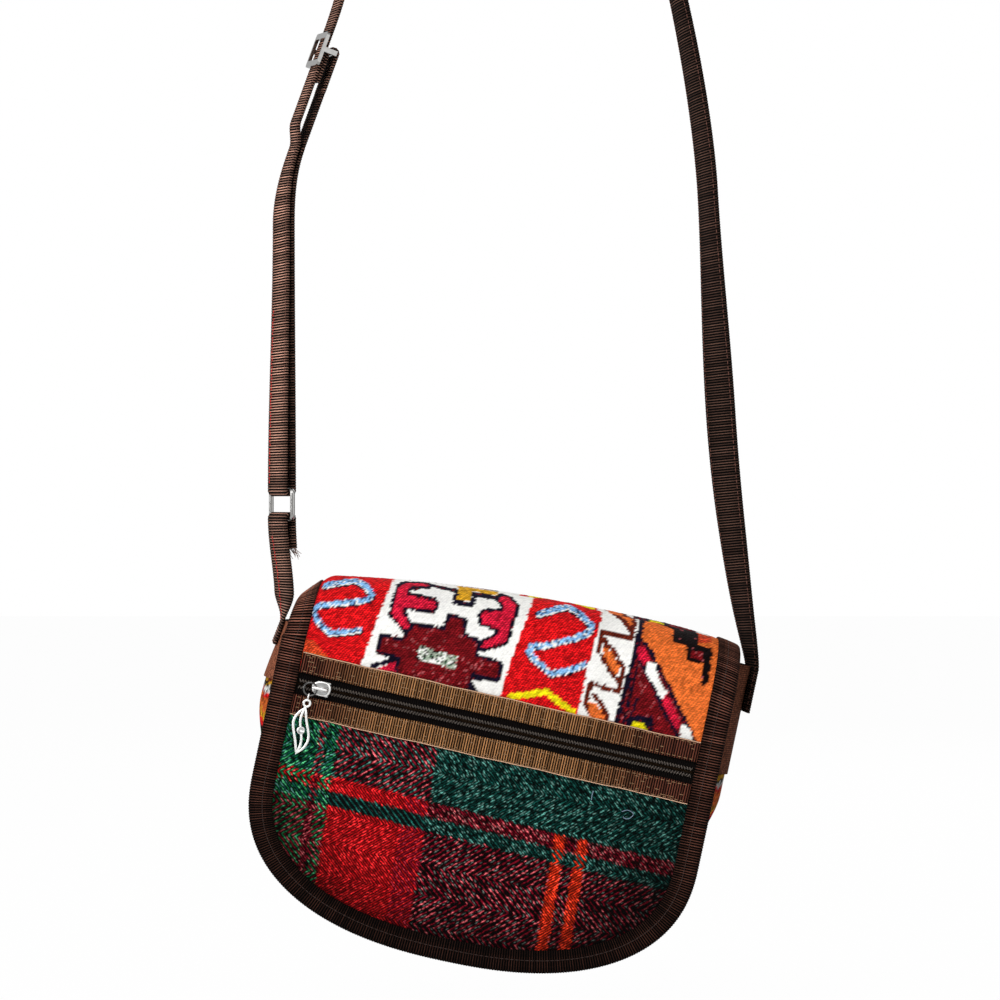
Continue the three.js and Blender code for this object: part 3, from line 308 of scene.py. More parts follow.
def signed_power(value, power):
    """A power of a value's size, with the value's sign."""
    return np.sign(value) * np.abs(value) ** power


def unit(vectors):
    """Vectors divided by their lengths."""
    return vectors / np.linalg.norm(vectors, axis=-1, keepdims=True)


def on_bag(points):
    """Bag points hung in the world: turned about Y by the tilt, then moved under the strap."""
    x, y, z = np.moveaxis(np.asarray(points, float), -1, 0)
    across, up = math.cos(TILT), math.sin(TILT)
    return np.stack([x * across + z * up, y, z * across - x * up], -1) + HANG


def turn_on_bag(vectors):
    """Bag directions turned by the tilt."""
    return on_bag(vectors) - HANG


def on_zip(points):
    """Zip points on the bag: turned about Y by the slant, with y = 0 on the cloth's face."""
    x, y, z = np.moveaxis(np.asarray(points, float), -1, 0)
    across, up = math.cos(ZIP_SLANT), math.sin(ZIP_SLANT)
    return np.stack([x * across + z * up, y - FRONT_OUT, z * across - x * up - ZIP_DROP], -1)


def droop(x):
    """Sag of the fold's crest: a power of the distance from its highest point, 16 left and 5 right."""
    side = x - CREST
    left = 16 * np.clip(-side / (CREST + HALF), 0, None) ** 2.2
    return left + 5 * np.clip(side / (HALF - CREST), 0, None) ** 3


def hinge(x):
    """Left end of the fold, bent down on an arc and a straight slope: how far it sinks and is drawn in."""
    run = np.clip(HINGE_START - HALF - x, 0, None)
    bent = np.clip(run / HINGE_BEND, 0, 1) * HINGE_ANGLE
    straight = np.clip(run - HINGE_BEND, 0, None)
    radius = HINGE_BEND / HINGE_ANGLE
    sag = radius * (1 - np.cos(bent)) + straight * math.sin(HINGE_ANGLE)
    return sag, run - radius * np.sin(bent) - straight * math.cos(HINGE_ANGLE)


def curl(down):
    """Backward curl of the flap: the square of the share of the drop below its start."""
    return CURL_BACK * (np.clip(down - CURL_START, 0, None) / (FLAP_DROP - CURL_START)) ** 2


def cloth_face(x, along):
    """Outer face of the folded cloth: a half ellipse over the top, straight drops beside it, then droop."""
    down = np.abs(along)
    turn = np.clip(along / FOLD, -1, 1) * np.pi / 2
    y = FOLD_MIDDLE - FOLD_REACH * np.sin(turn) + np.where(along > 0, curl(down), 0)
    sag, pull = hinge(x)
    z = np.where(down < FOLD, FOLD * (np.cos(turn) - 1) - sag * np.cos(turn) ** 2, -down)
    z = z - droop(x) * (1 - smooth(down, FOLD, DROOP_END))
    drawn = x + pull * np.clip(1 - (down / HINGE_END) ** 2, 0, None) ** 4
    return np.stack(np.broadcast_arrays(drawn, y, z), -1).astype(float)


def cloth_frame(x, along):
    """The face with its outward direction: the cross product of its downward and sideways steps."""
    reach = 0.01
    over = cloth_face(x + reach, along) - cloth_face(x - reach, along)
    down = cloth_face(x, along + reach) - cloth_face(x, along - reach)
    return cloth_face(x, along), unit(np.cross(down, over))


def cloth_point(x, along, depth):
    """Point at a depth under the cloth's outer face."""
    at, out = cloth_frame(x, along)
    return at - out * np.asarray(depth)[..., None]


def edge_drop(x, half, drop):
    """Lowest drop of an outline with straight sides and a superellipse for its bottom."""
    share = np.clip(np.abs(x) / half, 0, 1)
    return SIDE + (drop - SIDE) * (1 - share ** POWER) ** (1 / POWER)


def pillow(x, down):
    """Swell of the tartan panel: highest in its middle, nil under the binding and along the zip."""
    low = np.clip(down - SIDE, 0, None) / (DROP - REACH - SIDE)
    share = np.clip(((np.abs(x) / (HALF - REACH)) ** POWER + low ** POWER) ** (1 / POWER), 0, 1)
    top = ZIP_DROP + TAPE_START + TAPE_TALL + 0.3 + x * SLANT
    return 3 * (1 - share ** 2) ** 2 * smooth(down, top, top + 20)


def shadow(x, down):
    """Painted shade on the cloth towards the flap's rounded rim: eased over the outer part of its
    superellipse.
    """
    low = np.clip(down - SIDE, 0, None) / (DROP - SIDE)
    share = ((np.abs(x) / HALF) ** POWER + low ** POWER) ** (1 / POWER)
    return 1 - 0.8 * smooth(share, 0.55, 0.98) * smooth(down, 110, 150)


def cloth_lengths():
    """Lengths along the cloth from the crest, front positive, as a table against the drops."""
    along = np.linspace(-DROP, DROP, 6001)
    face = cloth_face(np.full_like(along, CREST), along)
    length = np.concatenate([[0], np.cumsum(np.linalg.norm(np.diff(face, axis=0), axis=1))])
    return along, length - np.interp(0, along, length)


ALONG, LENGTH = cloth_lengths()


def evenly(points, *others, pitch=None, count=None, closed=False):
    """A line and what goes with it, resampled at even distances along the line."""
    if closed:
        points = np.concatenate([points, points[:1]])
        others = [np.concatenate([other, other[:1]]) for other in others]
    length = np.concatenate([[0], np.cumsum(np.linalg.norm(np.diff(points, axis=0), axis=1))])
    count = count or max(2, int(round(length[-1] / pitch)) + 1)
    places = np.linspace(0, length[-1], count, endpoint=not closed)
    spread = [
        np.stack([np.interp(places, length, column) for column in other.T], -1)
        for other in (points, *others)
    ]
    return places, *spread


def grid_faces(columns, rows, loop_columns=False, loop_rows=False):
    """Corner numbers of a grid's cells, its points numbered row by row within each column."""
    column, row = np.meshgrid(
        np.arange(columns - (not loop_columns)), np.arange(rows - (not loop_rows)), indexing="ij")
    after, above = (column + 1) % columns, (row + 1) % rows
    corners = [column * rows + row, after * rows + row, after * rows + above, column * rows + above]
    return np.stack(corners, -1).reshape(-1, 4)


def outward(points, faces):
    """Faces of a closed shape, turned round if its volume comes out negative."""
    a, b, c, d = (points[faces[:, corner]] for corner in range(4))
    volume = np.einsum("ij,ij->", a, np.cross(b, c)) + np.einsum("ij,ij->", a, np.cross(c, d))
    return faces if volume > 0 else faces[:, ::-1]


def slab(outer, inner):
    """Closed sheet between two grids of points: both grids and a wall along their rim."""
    columns, rows = outer.shape[:2]
    points = np.concatenate([outer.reshape(-1, 3), inner.reshape(-1, 3)])
    skin = grid_faces(columns, rows)
    number = np.arange(columns * rows).reshape(columns, rows)
    rim = np.concatenate([number[:-1, 0], number[-1, :-1], number[:0:-1, -1], number[0, :0:-1]])
    after = np.roll(rim, -1)
    layer = columns * rows
    wall = np.stack([after, rim, rim + layer, after + layer], -1)
    faces = np.concatenate([skin, skin[:, ::-1] + layer, wall])
    return points, outward(points, faces)


def sweep(at, across, out, section, closed=False):
    """Section carried along a path; section is one loop of (x, y), or one loop for each place."""
    section = np.broadcast_to(section, (len(at), *np.shape(section)[-2:]))
    points = at[:, None] + across[:, None] * section[..., :1] + out[:, None] * section[..., 1:]
    count = section.shape[1]
    faces = grid_faces(len(at), count, closed, True)
    if closed:
        points = points.reshape(-1, 3)
        return points, outward(points, faces)
    ends = points[[0, -1]].mean(1)
    points = np.concatenate([points.reshape(-1, 3), ends])
    side = np.arange(count)
    last = (len(at) - 1) * count
    first = np.full(count, len(points) - 2)
    caps = [np.stack([side, np.roll(side, -1), first, first], -1)]
    caps.append(np.stack([last + np.roll(side, -1), last + side, first + 1, first + 1], -1))
    return points, outward(points, np.concatenate([faces, *[cap[:, ::-1] for cap in caps]]))


def joined(*shapes):
    """Several shapes as one list of points and one of faces."""
    starts = np.cumsum([0] + [len(points) for points, _ in shapes])
    faces = [faces + start for (_, faces), start in zip(shapes, starts)]
    return np.concatenate([points for points, _ in shapes]), np.concatenate(faces)


def tube(line, radius, sides=8, closed=False):
    """Round wire along a line: circles square to its direction, on a frame that starts from a fixed side."""
    line = np.asarray(line, float)
    if closed:
        way = unit(np.roll(line, -1, 0) - np.roll(line, 1, 0))
    else:
        way = unit(np.gradient(line, axis=0))
    side = np.array([0.0, 1.0, 0.0]) if abs(way[:, 1]).max() < 0.9 else np.array([0.31, 0.05, 0.95])
    across = unit(np.cross(way, side))
    out = np.cross(across, way)
    turn = np.linspace(0, 2 * np.pi, sides, endpoint=False)
    circle = np.stack([np.cos(turn), np.sin(turn)], -1)
    radius = np.broadcast_to(radius, len(line))
    return sweep(line, across, out, circle * radius[:, None, None], closed)


def stitches(at, way, out, length, radius):
    """Sewing stitches: one small lozenge with two rings of six points and two tips, copied to every place."""
    turn = np.linspace(0, 2 * np.pi, 6, endpoint=False)
    ring = np.stack([0 * turn, np.cos(turn) * radius, np.sin(turn) * radius * 0.8], -1)
    step = np.array([length, 0, 0])
    form = np.concatenate([ring - 0.28 * step, ring + 0.28 * step, [-0.5 * step, 0.5 * step]])
    place = np.arange(6)
    after = (place + 1) % 6
    sides = np.stack([place, after, after + 6, place + 6], -1)
    tips = [np.stack([after, place, 12 + 0 * place, 12 + 0 * place], -1)]
    tips.append(np.stack([place + 6, after + 6, 13 + 0 * place, 13 + 0 * place], -1))
    basis = np.stack([way, np.cross(out, way), out], -2)
    points = (at[:, None] + np.einsum("kc,ncd->nkd", form, basis)).reshape(-1, 3)
    number = np.arange(len(at))[:, None, None] * len(form)
    faces = (np.concatenate([sides, *tips])[None] + number).reshape(-1, 4)
    return points, outward(points, faces)


def inside(points, corners):
    """Whether points lie in an outline: a ray to the right crosses its sides an odd number of times."""
    a = np.array(corners, float)
    b = np.roll(a, -1, 0)
    x, y = points[:, :1], points[:, 1:]
    crosses = (a[:, 1] > y) != (b[:, 1] > y)
    rise = np.where(a[:, 1] == b[:, 1], 1, b[:, 1] - a[:, 1])
    cut = a[:, 0] + (y - a[:, 1]) * (b[:, 0] - a[:, 0]) / rise
    return np.sum(crosses & (x < cut), axis=1) % 2 == 1


def near(points, corners, width):
    """Whether points lie within half a width of a broken line."""
    a, b = np.array(corners[:-1], float), np.array(corners[1:], float)
    way = b - a
    off = points[:, None] - a
    share = np.clip((off * way).sum(-1) / (way ** 2).sum(-1), 0, 1)
    return np.linalg.norm(off - share[..., None] * way, axis=-1).min(1) < width / 2


def add_piece(
        name, shape, material, body="bag", stands_for=(), slot=None, uv=None, tones=None, domain="POINT"):
    """Mesh object in metres from points and faces, with UVs and point or face colours, riding on a body."""
    points, faces = shape
    used, index = np.unique(faces, return_inverse=True)
    index = index.reshape(faces.shape)
    is_tri = index[:, 2] == index[:, 3]
    keep = np.ones(faces.shape, bool)
    keep[is_tri, 3] = False
    corners = index[keep].astype(np.int32)
    starts = np.concatenate([[0], np.cumsum(keep.sum(1))[:-1]]).astype(np.int32)
    mesh = bpy.data.meshes.new(name)
    mesh.vertices.add(len(used))
    mesh.vertices.foreach_set("co", (points[used] * MM).astype(np.float32).ravel())
    mesh.loops.add(len(corners))
    mesh.loops.foreach_set("vertex_index", corners)
    mesh.polygons.add(len(faces))
    mesh.polygons.foreach_set("loop_start", starts)
    mesh.polygons.foreach_set("use_smooth", np.ones(len(faces), bool))
    if uv is not None:
        layer = mesh.uv_layers.new(name="weave")
        layer.data.foreach_set("uv", uv[keep].astype(np.float32).ravel())
    if tones is not None:
        tones = tones[used] if domain == "POINT" else tones
        data = mesh.attributes.new("yarn", "FLOAT_COLOR", domain).data
        data.foreach_set("color", tones.astype(np.float32).ravel())
    mesh.update(calc_edges=True)
    piece = bpy.data.objects.new(name, mesh)
    bpy.context.scene.collection.objects.link(piece)
    mesh.materials.append(material)
    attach(piece, body)
    if stands_for:
        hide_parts(*stands_for)
    return piece


# Materials


def calc(tree, operation, *values):
    """Math node on sockets or numbers."""
    node = tree.nodes.new("ShaderNodeMath")
    node.operation = operation
    for socket, value in zip(node.inputs, values):
        if isinstance(value, (int, float)):
            socket.default_value = value
        else:
            tree.links.new(value, socket)
    return node.outputs[0]


def new_group(name, inputs, outputs):
    """Empty shader group with named sockets; gives its tree, its input node and its output node."""
    tree = bpy.data.node_groups.new(name, "ShaderNodeTree")
    for sockets, side in ((inputs, "INPUT"), (outputs, "OUTPUT")):
        for label, kind in sockets.items():
            tree.interface.new_socket(name=label, in_out=side, socket_type=f"NodeSocket{kind}")
    return tree, tree.nodes.new("NodeGroupInput"), tree.nodes.new("NodeGroupOutput")


def noise(tree, scale, detail):
    """Noise on Object coordinates."""
    place = tree.nodes.new("ShaderNodeTexCoord")
    node = tree.nodes.new("ShaderNodeTexNoise")
    node.inputs["Scale"].default_value = scale
    node.inputs["Detail"].default_value = detail
    tree.links.new(place.outputs["Object"], node.inputs["Vector"])
    return node.outputs[0]


def dimmed(tree, tint, light):
    """A colour multiplied by a value."""
    node = tree.nodes.new("ShaderNodeVectorMath")
    node.operation = "SCALE"
    tree.links.new(tint, node.inputs[0])
    tree.links.new(light, node.inputs["Scale"])
    return node.outputs[0]


def thread_group():
    """Round threads in unit cells: one less the square of the place across, rounded ends, painted shade
    between threads, lit by lot.
    """
    tree, given, made = new_group(
        "Thread relief", {"Cells": "Vector", "Way": "Float", "Depth": "Float", "Lot": "Float"},
        {"Height": "Float", "Shade": "Float"})
    parts = tree.nodes.new("ShaderNodeSeparateXYZ")
    tree.links.new(given.outputs["Cells"], parts.inputs[0])
    arches = []
    for axis in (0, 1):
        place = calc(tree, "MULTIPLY_ADD", calc(tree, "FRACT", parts.outputs[axis]), 2.0, -1.0)
        arches.append(calc(tree, "SUBTRACT", 1.0, calc(tree, "MULTIPLY", place, place)))
    ends = [calc(tree, "MULTIPLY_ADD", calc(tree, "POWER", arch, 0.4), 0.6, 0.4) for arch in arches]
    upright = calc(tree, "MULTIPLY", calc(tree, "POWER", arches[0], 0.6), ends[1])
    level = calc(tree, "MULTIPLY", calc(tree, "POWER", arches[1], 0.6), ends[0])
    blend = calc(tree, "SUBTRACT", level, upright)
    height = calc(tree, "MULTIPLY_ADD", blend, given.outputs["Way"], upright)
    depth = given.outputs["Depth"]
    shallow = calc(tree, "MINIMUM", depth, DEEPEST_BUMP)
    tree.links.new(calc(tree, "MULTIPLY", height, shallow), made.inputs["Height"])
    gap = calc(tree, "SUBTRACT", calc(tree, "POWER", height, 1.2), 1.0)
    lit = calc(tree, "MAXIMUM", calc(tree, "MULTIPLY_ADD", gap, depth, 1.0), 0.0)
    whole = tree.nodes.new("ShaderNodeVectorMath")
    whole.operation = "FLOOR"
    tree.links.new(given.outputs["Cells"], whole.inputs[0])
    lot = tree.nodes.new("ShaderNodeTexWhiteNoise")
    lot.noise_dimensions = "2D"
    tree.links.new(whole.outputs[0], lot.inputs["Vector"])
    chance = calc(tree, "MULTIPLY", calc(tree, "SUBTRACT", lot.outputs["Value"], 0.5), depth)
    spread = calc(tree, "MULTIPLY", chance, given.outputs["Lot"])
    shade = calc(tree, "MULTIPLY", lit, calc(tree, "ADD", spread, 1.0))
    tree.links.new(shade, made.inputs["Shade"])
    return tree


def fibre_group():
    """Fine fibres and slow fading: two noises on Object coordinates that lighten and darken a colour."""
    tree, given, made = new_group(
        "Fibre", {"Colour": "Color", "Shade": "Float", "Strength": "Float"},
        {"Colour": "Color", "Height": "Float"})
    fine, slow = noise(tree, 2600.0, 2.0), noise(tree, 60.0, 2.0)
    fuzz = calc(tree, "MULTIPLY", calc(tree, "SUBTRACT", fine, 0.5), given.outputs["Strength"])
    fade = calc(tree, "MULTIPLY_ADD", slow, 0.3, 0.85)
    light = calc(tree, "MULTIPLY", calc(tree, "ADD", fuzz, fade), given.outputs["Shade"])
    tree.links.new(dimmed(tree, given.outputs["Colour"], light), made.inputs["Colour"])
    tree.links.new(fine, made.inputs["Height"])
    return tree


def wear_group():
    """Handled metal: a noise on Object coordinates that dulls the gloss in patches and darkens a little."""
    tree, given, made = new_group(
        "Handled metal", {"Colour": "Color", "Gloss": "Float"}, {"Colour": "Color", "Roughness": "Float"})
    patches = noise(tree, 420.0, 3.0)
    rough = calc(tree, "MULTIPLY_ADD", patches, 0.16, given.outputs["Gloss"])
    light = calc(tree, "MULTIPLY_ADD", patches, -0.2, 1.08)
    tree.links.new(dimmed(tree, given.outputs["Colour"], light), made.inputs["Colour"])
    tree.links.new(rough, made.inputs["Roughness"])
    return tree


def place_group(tree, name, maker, **values):
    """Shader group of that name, made once, placed in a material with its own values."""
    node = tree.nodes.new("ShaderNodeGroup")
    node.node_tree = bpy.data.node_groups.get(name) or maker()
    for key, value in values.items():
        node.inputs[key].default_value = value
    return node


def new_material(name, values):
    """Material with its tree and its shader, whose plain values are set on it directly."""
    material = bpy.data.materials.new(name)
    material.use_nodes = True
    tree = material.node_tree
    shader = tree.nodes["Principled BSDF"]
    for key, value in values.items():
        shader.inputs[key].default_value = value
    return material, tree, shader


def bump(tree, shader, height, strength, distance):
    """Height that tilts the shader's normal."""
    node = tree.nodes.new("ShaderNodeBump")
    node.inputs["Strength"].default_value = strength
    node.inputs["Distance"].default_value = distance
    tree.links.new(height, node.inputs["Height"])
    tree.links.new(node.outputs[0], shader.inputs["Normal"])


def woven(name, tone=None, way=0.0, depth=None, lot=0.15, strength=0.7):
    """Cloth of threads in UV cells: the yarn colour darkened by painted shade between threads, with fibres
    and bump.
    """
    material, tree, shader = new_material(name, {"Roughness": 0.9, "Specular IOR Level": 0.06})
    cells = tree.nodes.new("ShaderNodeUVMap")
    cells.uv_map = "weave"
    threads = place_group(tree, "Thread relief", thread_group, Lot=lot, Way=way)
    tree.links.new(cells.outputs[0], threads.inputs["Cells"])
    fibre = place_group(tree, "Fibre", fibre_group, Strength=strength)
    tree.links.new(threads.outputs["Shade"], fibre.inputs["Shade"])
    if tone is None:
        yarn = tree.nodes.new("ShaderNodeAttribute")
        yarn.attribute_name = "yarn"
        tree.links.new(yarn.outputs["Color"], fibre.inputs["Colour"])
        tree.links.new(yarn.outputs["Alpha"], threads.inputs["Depth"])
    else:
        fibre.inputs["Colour"].default_value = (*tone, 1)
        threads.inputs["Depth"].default_value = depth
    tree.links.new(fibre.outputs["Colour"], shader.inputs["Base Color"])
    height = calc(tree, "MULTIPLY_ADD", fibre.outputs["Height"], 0.25, threads.outputs["Height"])
    bump(tree, shader, height, 0.6, 0.0005)
    return material


def plain(name, tone, strength=0.5, rough=0.8, sheen=0.1):
    """Thread or cord finish: one colour with fibres and a little bump."""
    material, tree, shader = new_material(name, {"Roughness": rough, "Sheen Weight": sheen})
    fibre = place_group(tree, "Fibre", fibre_group, Strength=strength, Shade=1.0, Colour=(*tone, 1))
    tree.links.new(fibre.outputs["Colour"], shader.inputs["Base Color"])
    bump(tree, shader, fibre.outputs["Height"], 0.3, 0.0003)
    return material


def silver(name, tone, gloss):
    """Plated metal with handled patches."""
    material, tree, shader = new_material(name, {"Metallic": 1.0})
    wear_and_glare = place_group(tree, "Handled metal", wear_group, Colour=(*tone, 1), Gloss=gloss)
    tree.links.new(wear_and_glare.outputs["Colour"], shader.inputs["Base Color"])
    tree.links.new(wear_and_glare.outputs["Roughness"], shader.inputs["Roughness"])
    return material


# Cloth


def rib_uv(count, around):
    """UVs of places along ribs, a few to a rib, the same all round the section."""
    return np.repeat(np.stack([np.arange(count) / STEPS + 0.5, np.full(count, 0.5)], -1), around, axis=0)


def cell_uv(columns, rows, slant=0.0, shift=0.0, share=1.0):
    """UVs of a grid whose columns are a share of a thread wide, slanted, every row moved on by a shift."""
    column, row = np.meshgrid(np.arange(columns), np.arange(rows), indexing="ij")
    corners = [(0, 0), (1, 0), (1, 1), (0, 1)]
    uv = [np.stack([(column + i) * share + slant * (j - 0.5) + shift * row, row + j], -1) for i, j in corners]
    return np.stack(uv, -2).reshape(-1, 4, 2).astype(float)


def kilim_tones(x, drop, chance):
    """Yarn colours and depths on the kilim: motifs painted in order, then strays, each place lit by lot."""
    spots = np.stack([x + chance.normal(0, 0.25, len(x)), drop + chance.normal(0, 0.15, len(x))], -1)
    names = list(COLOURS)
    yarn = np.full(len(x), names.index("cream"))
    for motif, width, corners in MOTIFS:
        for name, more, lower in HOOK if motif == "hook" else [(motif, 0, 0)]:
            place = spots - [0, lower]
            hit = near(place, corners, width + more) if width else inside(place, corners)
            yarn[hit] = names.index(name)
    for name, stray, share in STRAYS:
        yarn[(yarn == names.index(name)) & (chance.random(len(x)) < share)] = names.index(stray)
    light = chance.normal(1, 0.2, len(x)).clip(0.5, 1.4)
    # Undyed wool varies less and stays below white.
    light = np.where(yarn == names.index("cream"), np.minimum(0.98 + 0.3 * (light - 1), 1), light)
    depths = np.array([DEPTHS.get(name, STITCH_SHADE) for name in names])
    return np.c_[np.array([colour(name) for name in names])[yarn] * light[:, None], depths[yarn]]


def motif_drop(x, along):
    """Drop at which a place reads the motifs: as seen from the front, then by length over the top."""
    seen = FOLD / 3
    length = np.interp(along, ALONG, LENGTH)
    limit = np.interp(seen, ALONG, LENGTH)
    front = -cloth_face(x, np.maximum(along, seen))[..., 2]
    past = np.clip(limit - length, 0, None)
    return front - np.minimum(past, limit) / 2.5 - np.clip(past - limit, 0, None)


class BAG_OT_kilim(Operator):
    """Weaves the kilim: back, fold and upper flap as one cloth of wrapped stitches"""
    bl_idname = "bag.kilim"
    bl_label = "Kilim cloth"

    def execute(self, context):
        chance = np.random.default_rng(11)
        share = 2 / 3
        columns = int(round(2 * HALF / size("stitch_width") / share))
        low, high = LENGTH[0], np.interp(ZIP_DROP - ZIP_FIELD + 1.6, ALONG, LENGTH)
        rows = int(round((high - low) / size("stitch_height")))
        x = np.linspace(-HALF, HALF, columns + 1)[:, None]
        along = np.interp(np.linspace(low, high, rows + 1), LENGTH, ALONG)[None]
        at, out = cloth_frame(*np.broadcast_arrays(x, along))
        rough = chance.normal(0, 0.08, at.shape[:2])[..., None]
        points = on_bag(at + out * np.clip(rough, -0.3, 0.25)).reshape(-1, 3)
        faces = grid_faces(columns + 1, rows + 1)[:, ::-1]
        uv = cell_uv(columns, rows, 0.94, 0.4, share)[:, ::-1]
        middle_x = ((x[1:] + x[:-1]) / 2 + 0 * along[:, 1:]).ravel()
        middle = ((along[:, 1:] + along[:, :-1]) / 2 + 0 * x[1:]).ravel()
        front = ZIP_DROP - ZIP_FIELD + middle_x * SLANT
        keep = np.where(middle > 0, middle < front, -middle < edge_drop(middle_x, HALF, DROP))
        drop = motif_drop(*np.broadcast_arrays(x, along))
        drop = np.where(drop < 0, np.mod(drop, MOTIF_TALL), drop)
        tones = kilim_tones((x + 0 * along).ravel(), drop.ravel(), chance)
        piece = add_piece(
            "kilim_cloth", (points, faces[keep]), woven("Kilim wool", lot=0.9, strength=0.4),
            stands_for=["kilim_shell"], slot="kilim", uv=uv[keep], tones=tones)
        return {"FINISHED"}


def stripes(places, table):
    """Colours of a striped set of threads: each stripe runs from its start to the next one's."""
    starts = np.array([start for start, _ in table])
    tones = np.array([colour(name) for _, name in table])
    return tones[np.clip(np.searchsorted(starts, places, side="right") - 1, 0, None)]


def tartan_tones(x, down, line, chance):
    """Yarn colours and depths of the twill: weft on two lines of four, warp on the others, lit by lot."""
    soot, teal, wine, scarlet, coral = (colour(name) for name in ("soot", "teal", "wine", "scarlet", "coral"))
    across = x - 0.045 * (down - 126) + chance.normal(0, 0.5, len(x))
    below = down - 0.04 * (x + 49) + chance.normal(0, 0.4, len(x))
    warp, weft = stripes(across, WARP), stripes(below, WEFT)
    is_high, is_low = below < RED_LINE, below > WINE_BLOCK
    is_right = across > SOOT_LEFT
    is_red = (across > RED_LEFT) & ~is_right
    is_line = (warp == coral).all(1) & ~is_high
    warp[is_right & ~is_line] = soot
    weft[is_right & ~is_high & (below < TEAL_LINE)] = wine
    is_teal = is_right & ~is_low & ~is_line
    warp[is_teal] = weft[is_teal] * 0.4
    stroke = is_red & is_high
    weft[stroke] = wine
    warp[stroke] = np.where((line[stroke] > 2)[:, None], teal, soot)
    warp[is_red & (below > TEAL_LINE) & ~is_low] = soot
    weft[is_red & is_low] = scarlet * 0.7
    weft[is_line & ((below < TEAL_LINE) | is_low)] = coral * 0.8
    lot = chance.random(len(x))
    light = np.interp(lot, [0, 0.35, 0.45, 0.8, 1], [0.03, 0.1, 0.65, 1.5, 3.6])
    is_even = is_line | (is_red & ~is_high)
    light = np.where(is_even, light.clip(0.5), light)
    # Painted shade: darker towards the flap's rim, and darker again towards the right side.
    rim = shadow(x, down) * (1 - 0.35 * smooth(x, 40, 115))
    # Pale flecks on the highest lots are painted highlights on the yarn.
    painted_highlight = np.where(is_even, 0.6, 4) * np.clip(lot - 0.82, 0, None) * rim
    tones = np.where((line < 2)[:, None], weft, warp) * (light * rim)[:, None]
    return np.c_[tones + (tones + [0.3, 0.4, 0.35]) * painted_highlight[:, None], np.full(len(x), TWILL_SHADE)]


class BAG_OT_tartan(Operator):
    """Weaves the tartan panel: a two and two twill whose slant turns back in level bands"""
    bl_idname = "bag.tartan"
    bl_label = "Tartan panel"

    def execute(self, context):
        chance = np.random.default_rng(5)
        tall = size("yarn_height")
        columns = int(round(2 * HALF / size("yarn_width")))
        top = ZIP_DROP + ZIP_FIELD - HALF * SLANT
        rows = int(round((DROP - top) / tall))
        column, row = np.meshgrid(np.arange(columns + 1), np.arange(rows + 1), indexing="ij")
        x, down = 2 * HALF * column / columns - HALF, top + (DROP - top) * row / rows
        points = on_bag(cloth_point(x, down, -pillow(x, down))).reshape(-1, 3)
        band, first = int(round(TWILL_BAND / tall)), int(round((TWILL_START - top) / tall))
        steps = np.abs((row - first) % (2 * band) - band)
        line = column + steps
        faces = grid_faces(columns + 1, rows + 1)[:, ::-1]
        turned = (np.diff(steps, axis=1)[:-1] < 0).ravel()
        faces[turned] = np.roll(faces[turned], 1, axis=1)
        spread = np.stack([(line + 0.5) / 2, row + 0.5], -1).reshape(-1, 2)
        x, down = x.ravel(), down.ravel()
        middle_x, middle = x[faces].mean(1), down[faces].mean(1)
        keep = (middle < edge_drop(middle_x, HALF, DROP)) & (middle > top + (HALF + middle_x) * SLANT)
        tones = tartan_tones(x, down, line.ravel() % 4, chance)
        piece = add_piece(
            "tartan_cloth", (points, faces[keep]), woven("Tartan wool"),
            stands_for=["tartan_panel"], slot="tartan", uv=spread[faces[keep]], tones=tones)
        return {"FINISHED"}


def bottom_edge(half, drop, count):
    """Rounded bottom from left to right, with its outward slope: a superellipse by angle."""
    turn = np.linspace(0, np.pi, count)
    side = -signed_power(np.cos(turn), 2 / POWER)
    low = np.sin(turn).clip(0) ** (2 / POWER)
    slope = np.stack([signed_power(side, POWER - 1) / half, low ** (POWER - 1) / (drop - SIDE)], -1)
    return side * half, SIDE + low * (drop - SIDE), unit(slope)


